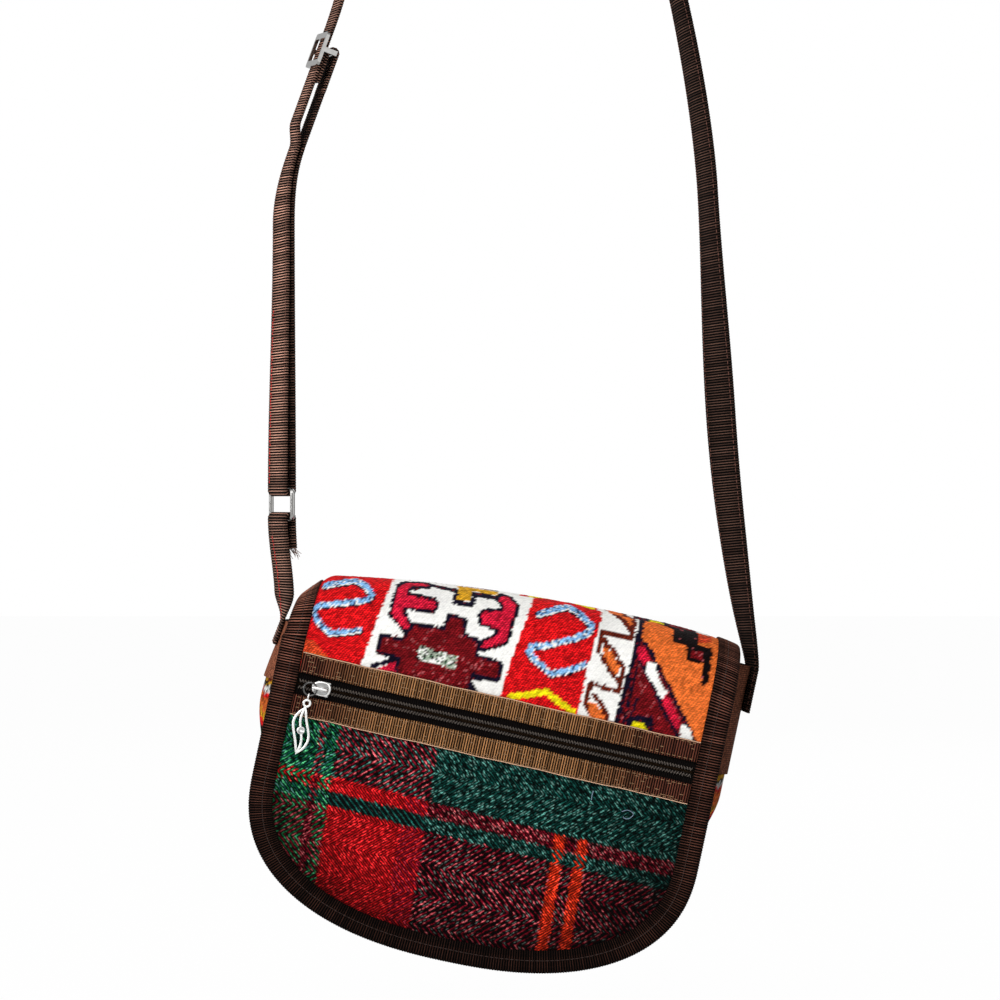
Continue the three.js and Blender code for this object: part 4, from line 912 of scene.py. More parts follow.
class BAG_OT_binding(Operator):
    """Folds the ribbed tape over the cloth's cut edge, round the front, the fold and the back"""
    bl_idname = "bag.binding"
    bl_label = "Edge binding"

    def execute(self, context):
        x, low, _ = bottom_edge(HALF, DROP, 900)
        sides = np.linspace(-SIDE, SIDE, 400)
        left = np.stack([np.full(400, -HALF), sides], -1)
        edge = np.concatenate([
            left, np.stack([x, low], -1)[1:-1], -left, np.stack([-x, -low], -1)[1:-1]])
        pitch = size("binding_rib")
        faces_at = cloth_face(edge[:, 0], edge[:, 1])
        count = int(round(np.linalg.norm(np.diff(faces_at, axis=0), axis=1).sum() / pitch)) * STEPS
        _, _, edge = evenly(faces_at, edge, count=count, closed=True)
        way = np.roll(edge, -1, 0) - np.roll(edge, 1, 0)
        way[:, 1] = np.where(np.abs(edge[:, 1]) < SIDE, np.sign(way[:, 1]), way[:, 1])
        way[:, 0] = np.where(np.abs(edge[:, 1]) < SIDE, 0, way[:, 0])
        way = unit(way)
        side = np.stack([way[:, 1], -way[:, 0]], -1)
        across = unit(cloth_face(*(edge + 0.05 * side).T) - cloth_face(*edge.T))
        deep = -STACK - 0.3
        section = np.array([
            [0.0, 0.25], [6.0, 0.25], [11.7, 0.25], [12.1, 0.5], [11.9, 0.95], [11.2, 1.15], [8.5, 1.2],
            [5.5, 1.25], [2.5, 1.25], [0.6, 1.15], [-0.6, 0.7], [-1.2, -0.3], [-1.25, -2.3],
            [-1.2, deep + 0.4], [-0.5, deep - 0.6], [1.0, deep - 0.9], [6.0, deep - 0.9], [11.8, deep - 0.85],
            [12.1, deep - 0.4], [11.6, deep], [6.0, deep], [0.0, deep], [-0.3, deep + 0.4], [-0.35, -2.3],
            [-0.3, -0.1]])
        bulge = np.zeros_like(section)
        bulge[4:18] = [
            [0.3, 0.7], [0.1, 1], [0, 1], [0, 1], [0, 1], [-0.2, 1], [-0.7, 0.7], [-1, 0.2], [-1, 0],
            [-1, -0.2], [-0.7, -0.7], [0, -1], [0, -1], [0, -1]]
        chance = np.random.default_rng(3)
        swell = 0.17 * np.cos(2 * np.pi * np.arange(count) / STEPS) - 0.03
        swell = swell * np.repeat(chance.uniform(0.75, 1.2, count // STEPS), STEPS)
        form = section + bulge * swell[:, None, None]
        inward = edge[:, None] + side[:, None] * form[..., :1].clip(0)
        at = cloth_point(inward[..., 0], inward[..., 1], -form[..., 1])
        points = on_bag(at + across[:, None] * form[..., :1].clip(None, 0)).reshape(-1, 3)
        faces = outward(points, grid_faces(count, len(section), True, True))
        spread = rib_uv(count, len(section))
        # Painted light and shade on the binding's front: lighter at its top, darker towards its bottom, and
        # lighter on its upper left.
        light = np.where(edge[:, 1] > 0, 1.7 - 1.4 * smooth(edge[:, 1], 20, 205), 1)
        light = light * (1 + np.where(edge[:, 0] < 0, 0.7, 0) * (1 - smooth(np.abs(edge[:, 1]), 40, 90)))
        # Painted shade across the tape: lighter along its middle and darker towards its edges, as on a
        # rounded band.
        rounded = np.tile(1.3 - 0.8 * np.clip(np.abs(section[:, :1] / 6 - 1), 0, 1.1) ** 2, (count, 1))
        tones = np.c_[colour("binding") * light[:, None], np.full(count, RIB_SHADE)]
        tones = np.repeat(tones, len(section), axis=0)
        tones[:, :3] *= rounded
        # The closed tape has a face to each point, and its tones go by face.
        piece = add_piece(
            "binding_tape", (points, faces), woven("Ribbed tape"), stands_for=["edge_binding"],
            slot="ribbed_tape", uv=spread[faces], tones=tones, domain="FACE")
        spots = (edge + 6.5 * side)[::2 * STEPS]
        at, out = cloth_frame(*spots.T)
        ahead = unit(np.roll(at, -1, 0) - np.roll(at, 1, 0))
        row = stitches(on_bag(at + out * 1.35), turn_on_bag(ahead), turn_on_bag(out), 1.8 * pitch, 0.2)
        thread = plain("Binding thread", colour("binding") * 0.3, sheen=0.0)
        add_piece("binding_stitching", row, thread, slot="ribbed_tape")
        return {"FINISHED"}


def body_outline(pitch):
    """Even places round the body from the gusset's left end to its right, with their outward slopes."""
    x, low, slope = bottom_edge(BODY_HALF, BODY_DROP, 900)
    left = np.linspace(LEFT_TOP + droop(-BODY_HALF), SIDE, 200)[:-1]
    right = np.linspace(RIGHT_TOP + droop(BODY_HALF), SIDE, 200)[:-1][::-1]
    x = np.concatenate([-BODY_HALF + 0 * left, x, BODY_HALF + 0 * right])
    line = np.stack([x, np.concatenate([left, low, right])], -1)
    slopes = np.concatenate([np.tile([-1.0, 0], (len(left), 1)), slope, np.tile([1.0, 0], (len(right), 1))])
    _, line, slopes = evenly(line, slopes, pitch=pitch)
    return line[:, 0], line[:, 1], unit(slopes)


def side_swell(x, down):
    """Swell of the gusset's sides: eased in from the left top end and out towards the rounded bottom."""
    top = np.where(x < 0, SWELL_LEFT, SWELL)
    swollen = top + (SWELL - top) * smooth(down, FOLD, SWELL_DROP)
    return swollen + (SWELL_LOW - swollen) * smooth(down, SWELL_DROP, SIDE)


def gusset_point(x, down, slope, share, lift):
    """Swollen gusset: off its outline by a parabola across its depth, narrowed under the arched top."""
    inset = STACK + 1.2 + 0.6
    rise = np.clip(1 - (down - droop(x) - inset) / (FOLD - inset), 0, 1)
    room = (FOLD_REACH - inset) * np.sqrt(1 - rise ** 2)
    front = np.maximum(curl(down) + BODY_FRONT, FOLD_MIDDLE - room)
    back = np.minimum(BODY_BACK, FOLD_MIDDLE + room)
    side = side_swell(x, down)
    off = (side + (SWELL_BOTTOM - side) * slope[..., 1] ** 2) * 4 * share * (1 - share) + lift
    y = front + (back - front) * share
    return np.stack(np.broadcast_arrays(x + slope[..., 0] * off, y, -down - slope[..., 1] * off), -1)


class BAG_OT_gusset(Operator):
    """Weaves the gusset round the sides and the bottom, with the plain facings on its two top ends"""
    bl_idname = "bag.gusset"
    bl_label = "Gusset and facings"

    def execute(self, context):
        chance = np.random.default_rng(8)
        pitch = size("stitch_height") * 1.2
        x, down, slope = body_outline(pitch)
        rows = 36
        share = np.linspace(0, 1, rows + 1)
        points = on_bag(gusset_point(x[:, None], down[:, None], slope[:, None], share[None], 0.0))
        columns = len(x) - 1
        faces = grid_faces(columns + 1, rows + 1)
        uv = cell_uv(columns, rows, 0.9)
        run = np.arange(columns + 1) * pitch
        place = np.repeat(np.where(x < 0, down[0] + run, down[-1] + run[::-1]), rows + 1)
        zigzag = 4 * np.abs((np.tile(share, columns + 1) * 4) % 2 - 1)
        tones = stripes(place + zigzag + chance.normal(0, 0.9, len(place)), GUSSET_BANDS)
        # Random tone of the stitches, and painted shade that darkens the right side of the gusset.
        lit = chance.uniform(0.35, 1, len(place)) * np.repeat(1 - 0.5 * smooth(x, -60, 60), rows + 1)
        tones = np.c_[tones * lit[:, None], np.full(len(place), GUSSET_SHADE)]
        piece = add_piece(
            "gusset_cloth", (points.reshape(-1, 3), faces), woven("Gusset wool", lot=0.9, strength=0.4),
            stands_for=["gusset"], slot="kilim", uv=uv, tones=tones)
        # The right facing is a darker copy of the same cloth, by painted shade.
        for hand, name, lit in ((-1, "left_facing", 1.0), (1, "right_facing", 0.35)):
            material = woven(f"Cloth of the {name}", tone=colour("facing") * lit, depth=1.0, lot=0.9)
            top = (LEFT_TOP if hand < 0 else RIGHT_TOP) + float(droop(np.array(hand * BODY_HALF)))
            tall, wide = 70, 40
            down = np.linspace(top, FACING_DROP, tall)[:, None]
            share = np.linspace(0.09, 0.91, wide)[None]
            side = np.array([[[hand, 0.0]]])
            shape = slab(*(
                on_bag(gusset_point(hand * BODY_HALF + 0 * down, down, side, share, lift))
                for lift in (1.5, 0.3)))
            number = np.arange(tall * wide)
            spread = np.tile(np.stack([number // wide * 0.8, number % wide * 1.2], -1), (2, 1))
            piece = add_piece(
                f"{name}_cloth", shape, material, stands_for=[name], slot="webbing", uv=spread[shape[1]])
        return {"FINISHED"}


class BAG_OT_lining(Operator):
    """Lays the lining under the kilim and the flap, and sets the body's front panel behind the flap"""
    bl_idname = "bag.lining"
    bl_label = "Lining and front panel"

    def execute(self, context):
        self.material = woven("Lining cotton", colour("lining"), way=0.5, depth=0.5)
        share = np.linspace(-1, 1, 61)[:, None]
        x = HALF * signed_power(share, 0.85)
        low = edge_drop(x, HALF, DROP) - 0.4
        ends = [np.interp(end, ALONG, LENGTH) for end in (-low, low)]
        length = ends[0] + (ends[1] - ends[0]) * np.linspace(0, 1, 121)[None]
        along = np.interp(length, LENGTH, ALONG)
        x = np.clip(x, -HALF + 0.4, HALF - 0.4) + 0 * along
        self.sheet("kilim_lining", "lining", x, along, (3.1, 4.6), (2 * HALF, LENGTH[-1] - LENGTH[0]))
        x = BODY_HALF * signed_power(share, 0.85)
        low = edge_drop(x, BODY_HALF, BODY_DROP)
        along = FRONT_TOP + (low - FRONT_TOP) * np.linspace(0, 1, 71)[None]
        flat = (2 * BODY_HALF, BODY_DROP - FRONT_TOP)
        self.sheet("body_front", "front_panel", x + 0 * along, along, (9.5, 12.5), flat)
        return {"FINISHED"}

    def sheet(self, name, node, x, along, depths, flat):
        """Closed sheet between two depths under the cloth."""
        outer, inner = (on_bag(cloth_point(x, along, np.full(x.shape, depth))) for depth in depths)
        shape = slab(outer, inner)
        spread = np.tile(np.stack([x, along], -1).reshape(-1, 2), (2, 1))
        piece = add_piece(name, shape, self.material, stands_for=[node], slot="lining", uv=spread[shape[1]])


# Zip

ZIP_UP = turn_on_bag(np.array([math.sin(ZIP_SLANT), 0.0, math.cos(ZIP_SLANT)]))
ZIP_WAY = turn_on_bag(np.array([math.cos(ZIP_SLANT), 0.0, -math.sin(ZIP_SLANT)]))
FORWARD = np.array([0.0, -1.0, 0.0])


def zip_line(x, y, z):
    """World points of places along the zip, with the two directions of a section carried along it."""
    at = on_bag(on_zip(np.stack(np.broadcast_arrays(x, y, z), -1)))
    return at, np.broadcast_to(ZIP_UP, at.shape), np.broadcast_to(FORWARD, at.shape)


def band_section(half, thick, count=7):
    """Loop round a flat band with rounded edges, and the direction in which each point swells with a rib."""
    x = np.linspace(-1, 1, count) * (half - thick * 0.3)
    face = np.full(count, thick / 2)
    upper, lower = np.stack([x, face], -1), np.stack([x[::-1], -face], -1)
    section = np.concatenate([upper, [[half, 0]], lower, [[-half, 0]]])
    swell = np.zeros_like(section)
    swell[:count, 1] = 1
    swell[count + 1:-1, 1] = -1
    return section, swell


def ribbed_band(
        name, at, across, out, material, half, thick, rib=0.3, bend=None, tones=None, edge_shade=0.0, **where):
    """Flat ribbed band along a path: the section swells with a cosine to each rib, its edges darker by
    painted shade.
    """
    section, swell = band_section(half, thick)
    count = len(at)
    wave = rib * (0.5 * np.cos(2 * np.pi * np.arange(count) / STEPS) - 0.3)
    form = section + swell * wave[:, None, None]
    if bend is not None:
        form[..., 1] += bend[:, None] * (section[:, 0] / half) ** 2
    points, faces = sweep(at, across, out, form)
    spread = np.concatenate([rib_uv(count, len(section)), [[0, 0], [0, 0]]])
    if tones is not None:
        tones = np.concatenate([np.repeat(tones, len(section), axis=0), tones[[0, -1]]])
        # Painted shade across the band: lighter along its middle, darker at its edges.
        tones[:-2, :3] *= np.tile(1 + edge_shade * (0.4 - (section[:, :1] / half) ** 2), (count, 1))
    piece = add_piece(name, (points, faces), material, uv=spread[faces], tones=tones, **where)
    run = np.linalg.norm(np.diff(at, axis=0), axis=1).sum()
    return piece, run


class BAG_OT_zip(Operator):
    """Sews the zip: two ribbed webbings, two cloth tapes and the nylon coil on their edges"""
    bl_idname = "bag.zip"
    bl_label = "Zip and webbings"

    def execute(self, context):
        pitch = size("tape_rib")
        x = np.linspace(-ZIP_HALF, ZIP_HALF, int(round(2 * ZIP_HALF / pitch)) * STEPS + 1)
        webbing = woven("Webbing tape", lot=0.25)
        ends = (1 - smooth(x, -ZIP_HALF, -50) + smooth(x, 30, 100))[:, None]
        tint = colour("tape") + (colour("tape_end") - colour("tape")) * ends
        tones = np.c_[tint, np.full(len(x), TAPE_SHADE)]
        chance = np.random.default_rng(17)
        rows, edges = [], []
        for hand, name in ((1, "upper_zip_webbing"), (-1, "lower_zip_webbing")):
            middle = hand * (TAPE_START + TAPE_TALL / 2)
            wave = 0.25 * np.sin(x / 9 + hand) + 0.15 * np.sin(x / 3.7)
            at, across, out = zip_line(x, -0.9, middle + wave * 0.6)
            piece, run = ribbed_band(
                name.replace("webbing", "tape"), at, across, out, webbing, TAPE_TALL / 2, 1.2, rib=0.25,
                tones=tones, stands_for=[name], slot="webbing")
            for z in (7.2, 16.2):
                places = np.arange(-ZIP_HALF + 3, ZIP_HALF - 2, size("sewing_stitch"))
                rows.append(self.row(places, hand * z, -1.62))
            spots = chance.uniform(3 - ZIP_HALF, ZIP_HALF - 3, 90)
            rows.append(self.row(spots, middle + chance.choice([-3.4, -1.2, 1.2, 3.4], 90), -1.55))
            line = zip_line(x[::STEPS], -1.3, hand * 17.1 + wave[::STEPS] * 0.6)[0]
            edges.append(tube(line, 0.28, 6))
        add_piece("zip_stitching", joined(*rows), plain("Sewing thread", colour("thread")), slot="webbing")
        thread = plain("Edge thread", colour("edge_thread"))
        add_piece("zip_edge_threads", joined(*edges), thread, slot="webbing")
        tape = woven("Zip tape cloth", colour("zip"), depth=1.2)
        coil = plain("Zip coil nylon", colour("coil"), strength=0.2, rough=0.32)
        ribs = 186
        x = np.linspace(-ZIP_HALF, ZIP_HALF, STEPS * ribs + 1)
        for hand, label in ((1, "zip_upper_tape"), (-1, "zip_lower_tape")):
            at, across, out = zip_line(x, 0.6, hand * 5.2)
            piece, run = ribbed_band(
                label, at, across, out, tape, 4.5, 0.6, rib=0.08,
                stands_for=[label.replace("tape", "half")], slot="zip")
            add_piece(label.replace("tape", "coil"), self.coil(hand), coil, slot="zip")
        return {"FINISHED"}

    def row(self, places, z, y):
        """Stitches along the zip at a height beside it and a distance out."""
        at, _, out = zip_line(places, y, z)
        return stitches(at, np.broadcast_to(ZIP_WAY, at.shape), out, size("sewing_stitch") * 0.72, 0.2)

    def coil(self, hand):
        """Row of nylon turns: a wire wound on a helix, its turns leaning the other way in the other row."""
        pitch = size("coil_pitch")
        turns = int((2 * ZIP_HALF - 2) / pitch)
        turn = np.linspace(0, 2 * np.pi * turns, 12 * turns + 1)[:, None]
        x = pitch * (turn[:, 0] / (2 * np.pi) - turns / 2)
        at = zip_line(x, -0.75, hand * 1.8)[0]
        away = hand * ZIP_UP * np.cos(turn) + FORWARD * np.sin(turn)
        line = at + 0.74 * away
        across = unit(np.cross(unit(np.gradient(line, axis=0)), away))
        return sweep(line, across, away, circle(0.28, 6))


PULL = np.array([14.0 - ZIP_HALF, 0.3, 0.0])
RING_PLACE = np.array([-5.8, -4.35, -1.4])
LEAF_PLACE = np.array([-5.8, -4.35, -5.5])
# Half length and half width of the slider, the jump ring with its wire, and the leaf below its eyelet.
SLIDER_LONG, SLIDER_WIDE, JUMP_RADIUS, JUMP_WIRE = 5.25, 4.1, 3.6, 0.55
LEAF_TOP, LEAF_LONG, LEAF_HALF, DISC_DROP = 5.6, 27, 4.7, 19.1


def on_pull(points):
    """World points of places on the slider: x along the zip, y in, z up."""
    return on_bag(on_zip(np.asarray(points, float) + PULL))


def pebble(outline, lifts, shares, middle=(0.0, 0.0)):
    """Flat plate with rounded rims: its outline stacked outwards, shrunk to its middle at both faces."""
    lifts, shares = np.array(lifts, float), np.array(shares, float)
    centre = np.stack([np.full(len(lifts), middle[0]), -lifts, np.full(len(lifts), middle[1])], -1)
    form = (outline - np.array(middle)) * shares[:, None, None]
    return sweep(centre, np.tile([1.0, 0, 0], (len(lifts), 1)), np.tile([0, 0, 1.0], (len(lifts), 1)), form)


def circle(radius, count=40):
    """Points of a circle."""
    turn = np.linspace(0, 2 * np.pi, count, endpoint=False)
    return np.stack([np.cos(turn), np.sin(turn)], -1) * radius


def moved(shape, place):
    """Shape moved by a step and put on the slider."""
    return on_pull(shape[0] + np.asarray(place)), shape[1]


class BAG_OT_pull(Operator):
    """Shapes the zip slider, its jump ring and the openwork leaf that serves as pull"""
    bl_idname = "bag.pull"
    bl_label = "Slider, ring and leaf"

    def execute(self, context):
        metal = silver("Satin silver", colour("satin"), 0.3)
        dark = silver("Dark ring steel", colour("metal") * 0.3, 0.1)
        add_piece("slider_metal", self.slider(), metal, "slider", ["zip_slider"], "metal")
        line = np.insert(circle(JUMP_RADIUS, 64), 1, 0, axis=1)
        ring = moved(tube(line, JUMP_WIRE, 14, True), RING_PLACE)
        add_piece("jump_ring_metal", ring, dark, "ring", ["pull_ring"], "metal")
        add_piece("leaf_metal", self.leaf(), metal, "leaf", ["leaf_pull"], "metal")
        return {"FINISHED"}

    def slider(self):
        """Two plates on a superellipse that narrows to its nose, side flanges, a post and a wire bridge."""
        turn = np.linspace(0, 2 * np.pi, 72, endpoint=False)
        x = SLIDER_LONG * signed_power(np.cos(turn), 0.7)
        z = SLIDER_WIDE * signed_power(np.sin(turn), 0.75) * (1 - 0.18 * smooth(-x, 0, SLIDER_LONG))
        outline = np.stack([x, z], -1)
        plates = [
            pebble(outline, [2.5, 2.55, 2.8, 3.2, 3.42, 3.5], [0.9, 0.97, 1.0, 0.98, 0.9, 0.75]),
            pebble(outline, [-1.9, -1.82, -1.5, -1.1, -0.95, -0.9], [0.75, 0.9, 1.0, 1.0, 0.97, 0.9]),
        ]
        flange = np.stack([x * 0.7 + 0.9, z * 0.1], -1)
        for hand in (-1, 1):
            rail = flange + [0, hand * 3.6]
            plates.append(pebble(rail, [0.3, 0.4, 2.6, 2.9], [0.9, 1, 1, 1], (0.9, hand * 3.6)))
        post = np.stack([x * 0.22 - 3.05, z * 0.085], -1)
        plates.append(pebble(post, [-1.2, 2.8], [1, 1], (-3.05, 0.0)))
        side = np.linspace(0, np.pi, 61)
        span = -0.6 - 3.8 * signed_power(np.cos(side), 0.28)
        rise = 3.0 + 3.7 * np.abs(np.sin(side)) ** 0.28
        line = np.stack([span, -rise, 0 * span], -1)
        _, line = evenly(line, count=60)
        bridge = self.wire(line, 0.9)
        return moved(joined(*plates, bridge), (0, 0, 0))

    def wire(self, line, radius, sides=12):
        """Round wire in the plane of the slider's length and height."""
        way = unit(np.gradient(line, axis=0))
        across = np.tile([0, 0, 1.0], (len(line), 1))
        form = circle(radius, sides)
        return sweep(line, across, np.cross(across, way), form)

    def leaf(self):
        """Leaf of wires: two sides off a swaying rib by a sine power, then rib, disc, eyelet and loop."""
        share = np.linspace(0.005, 0.995, 90)
        rib = -1.5 * np.sin(2 * np.pi * share)
        half = np.clip(LEAF_HALF * np.sin(np.pi * share) ** 0.8 - 0.5, 0, None)
        low = -LEAF_TOP - LEAF_LONG * share
        shapes = []
        taper = 0.25 + 0.75 * np.clip(np.sin(np.pi * share) * 2.4, 0, 1)
        for side, thick in ((-1, 0.8), (1, 0.8), (0, 0.75)):
            line = np.stack([rib + side * half, 0 * low, low], -1)
            shapes.append(tube(line, thick * taper, 10))
        lifts, shares = [-0.95, -0.9, -0.5, 0.5, 0.9, 0.95], [0.7, 0.88, 1, 1, 0.88, 0.7]
        disc, faces = pebble(circle(2.25), lifts, shares)
        shapes.append((disc + [0, 0, -DISC_DROP], faces))
        eye = np.insert(circle(1.8, 48), 1, 0, axis=1) + [0, 0, -3.9]
        shapes.append(tube(eye, 0.72, 14, True))
        turn = np.linspace(0, 2 * np.pi, 40, endpoint=False)
        loop = np.stack([0 * turn, 1.6 * np.cos(turn), 1.6 * np.sin(turn)], -1)
        across = np.tile([1.0, 0, 0], (40, 1))
        shapes.append(sweep(loop, across, loop / 1.6, circle(0.45, 12), True))
        return moved(joined(*shapes), LEAF_PLACE)


# Strap

DEPTH = np.array([0.0, 1.0, 0.0])
# Reaches of the curve over the shoulder, and twists of the right leg in degrees.
ARCH_RISE, CROWN_REACH, ARM_TWIST, HIP_TWIST = 92, 62, -21, -36
# Painted light and shade on the left and right legs, painted shade on layers behind others and on the tab,
# and a painted highlight added on the left leg's front layer.
LEFT_LIGHT, RIGHT_LIGHT, HIDDEN_LIGHT, TAB_LIGHT, GLARE_LIGHT = 1.8, 0.4, 0.55, 0.88, 0.35
MEND_STEP, MEND_LONG = 2.1, 1.7
# Steps up the left leg: between the ring's bars, either side of the bend, to the adjuster's bar and past it.
RING_GAP, BEND_HEIGHT, BEND_REACH, GLIDE_RISE, GLIDE_PAST = 15.8, -317.0, 22, 78, 14


def heading(degrees):
    """Direction in the bag's hanging plane, that many degrees to the right of straight up."""
    return np.array([math.sin(math.radians(degrees)), 0.0, math.cos(math.radians(degrees))])


def on_side(hand, down):
    """Place of a strap's middle where it is sewn over a facing."""
    seat = BODY_HALF + float(side_swell(np.array(hand), down)) + 2.7
    return on_bag([hand * seat, 0, -down])


PLUMB, BAG_UP, LEAN = heading(0), heading(12), heading(20)
LEFT_SEWN = LEFT_TOP + 2 + float(droop(np.array(-BODY_HALF)))
RIGHT_SEWN = RIGHT_TOP + 2 + float(droop(np.array(BODY_HALF)))
TAB_LOW, TAB_TOP = on_side(-1, LEFT_SEWN + 12), on_side(-1, LEFT_SEWN)
LOW_BAR = TAB_TOP + TAB_RISE * PLUMB
HIGH_BAR = LOW_BAR + RING_GAP * PLUMB
BEND = np.array([HIGH_BAR[0], 0, BEND_HEIGHT])
BEND_LOW, BEND_HIGH = BEND - BEND_REACH * PLUMB, BEND + BEND_REACH * LEAN
GLIDE_BAR = BEND + GLIDE_RISE * LEAN
GLIDE_END = GLIDE_BAR + GLIDE_PAST * LEAN
CROWN = np.array([0, 0, 0.9])
RIGHT_ONE, RIGHT_TWO = np.array([121.7, 0, -322.0]), np.array([129.6, 0, -444.0])
SEWN_HIGH, SEWN_LOW = on_side(1, RIGHT_SEWN), on_side(1, RIGHT_SEWN + 24)


def stretch(controls, twist, offset, count=100, turn_share=1.0):
    """Strap on a Bezier line in the plane y = 0: offset eased from end to end, twist over a first share."""
    share = np.linspace(0, 1, count)[:, None]
    lines = [np.asarray(control, float) for control in controls]
    while len(lines) > 2:
        lines = [a + (b - a) * share for a, b in zip(lines, lines[1:])]
    at = lines[0] + (lines[1] - lines[0]) * share
    way = unit(np.broadcast_to(lines[1] - lines[0], at.shape))
    ease = smooth(share, 0, 1)
    turn = np.radians(twist[0] + (twist[1] - twist[0]) * smooth(share, 0, turn_share))
    flat = np.stack([-way[:, 2], 0 * way[:, 0], way[:, 0]], -1)
    across = DEPTH * np.cos(turn) + flat * np.sin(turn)
    out = flat * np.cos(turn) - DEPTH * np.sin(turn)
    return at, across, out, way, offset[0] + (offset[1] - offset[0]) * ease


def turn_round(frame_part, radius, end):
    """Half turn round a bar, from the band's one face over the bar's end to its other face."""
    at, across, out, way, _ = frame_part
    angle = np.linspace(0, np.pi, 25)[:, None]
    away = -out * np.cos(angle) + way * end * np.sin(angle)
    return at + away * radius, np.broadcast_to(across, away.shape), away


def lifted(part, gap, flip=1):
    """Stretch moved out by a gap, its outward side kept or turned."""
    at, across, out = part[:3]
    return at + out * gap, across, out * flip


def raised(part):
    """Stretch moved out by its own offset."""
    at, across, out, _, offset = part
    return at + out * offset, across, out


def backwards(part):
    """Stretch run the other way."""
    return tuple(item[::-1] for item in part)


def end_of(part, place):
    """One end of a stretch."""
    return tuple(item[place] for item in part)


def chained(*parts, pitch):
    """Parts of a band joined end to end and resampled at even distances."""
    at, across, out = (np.concatenate([part[place] for part in parts]) for place in range(3))
    step = np.linalg.norm(np.diff(at, axis=0), axis=1) > 1e-6
    keep = np.concatenate([[True], step])
    places, at, across, out = evenly(at[keep], across[keep], out[keep], pitch=pitch)
    way = unit(np.gradient(at, axis=0))
    across = unit(across - way * (across * way).sum(1)[:, None])
    turn = np.cross(across, way)
    return places, at, across, turn * np.sign((turn * out).sum(1))[:, None]


def ringline():
    """Lower left leg: straight from the ring, then bent towards the shoulder."""
    straight = stretch([HIGH_BAR, BEND_LOW], (RING_TWIST, MID_TWIST), (BAR_TURN, CLOSE_LAYER))
    bent = stretch([BEND_LOW, BEND, BEND_HIGH], (MID_TWIST, GLIDE_TWIST), (CLOSE_LAYER, CLOSE_LAYER))
    return straight, bent


def tab_rise():
    """Free part of the tab, from the gusset up to the ring's lower bar."""
    line = [TAB_TOP, TAB_TOP + TAB_RISE / 3 * BAG_UP, LOW_BAR - TAB_RISE / 3 * PLUMB, LOW_BAR]
    return stretch(line, (TAB_TWIST, RING_TWIST), (0, BAR_TURN), turn_share=TAB_TURN)


def tab_inner():
    """Doubled end of the tab inside its outer layer, from its cut end up to the ring."""
    at, across, out, way, offset = (item[int(100 * (1 - TAB_RETURN)):] for item in tab_rise())
    gap = BAND_THICK + 0.3 + (2 * BAR_TURN - BAND_THICK - 0.3) * offset / BAR_TURN
    return at + out * (offset - gap), across, -out, way


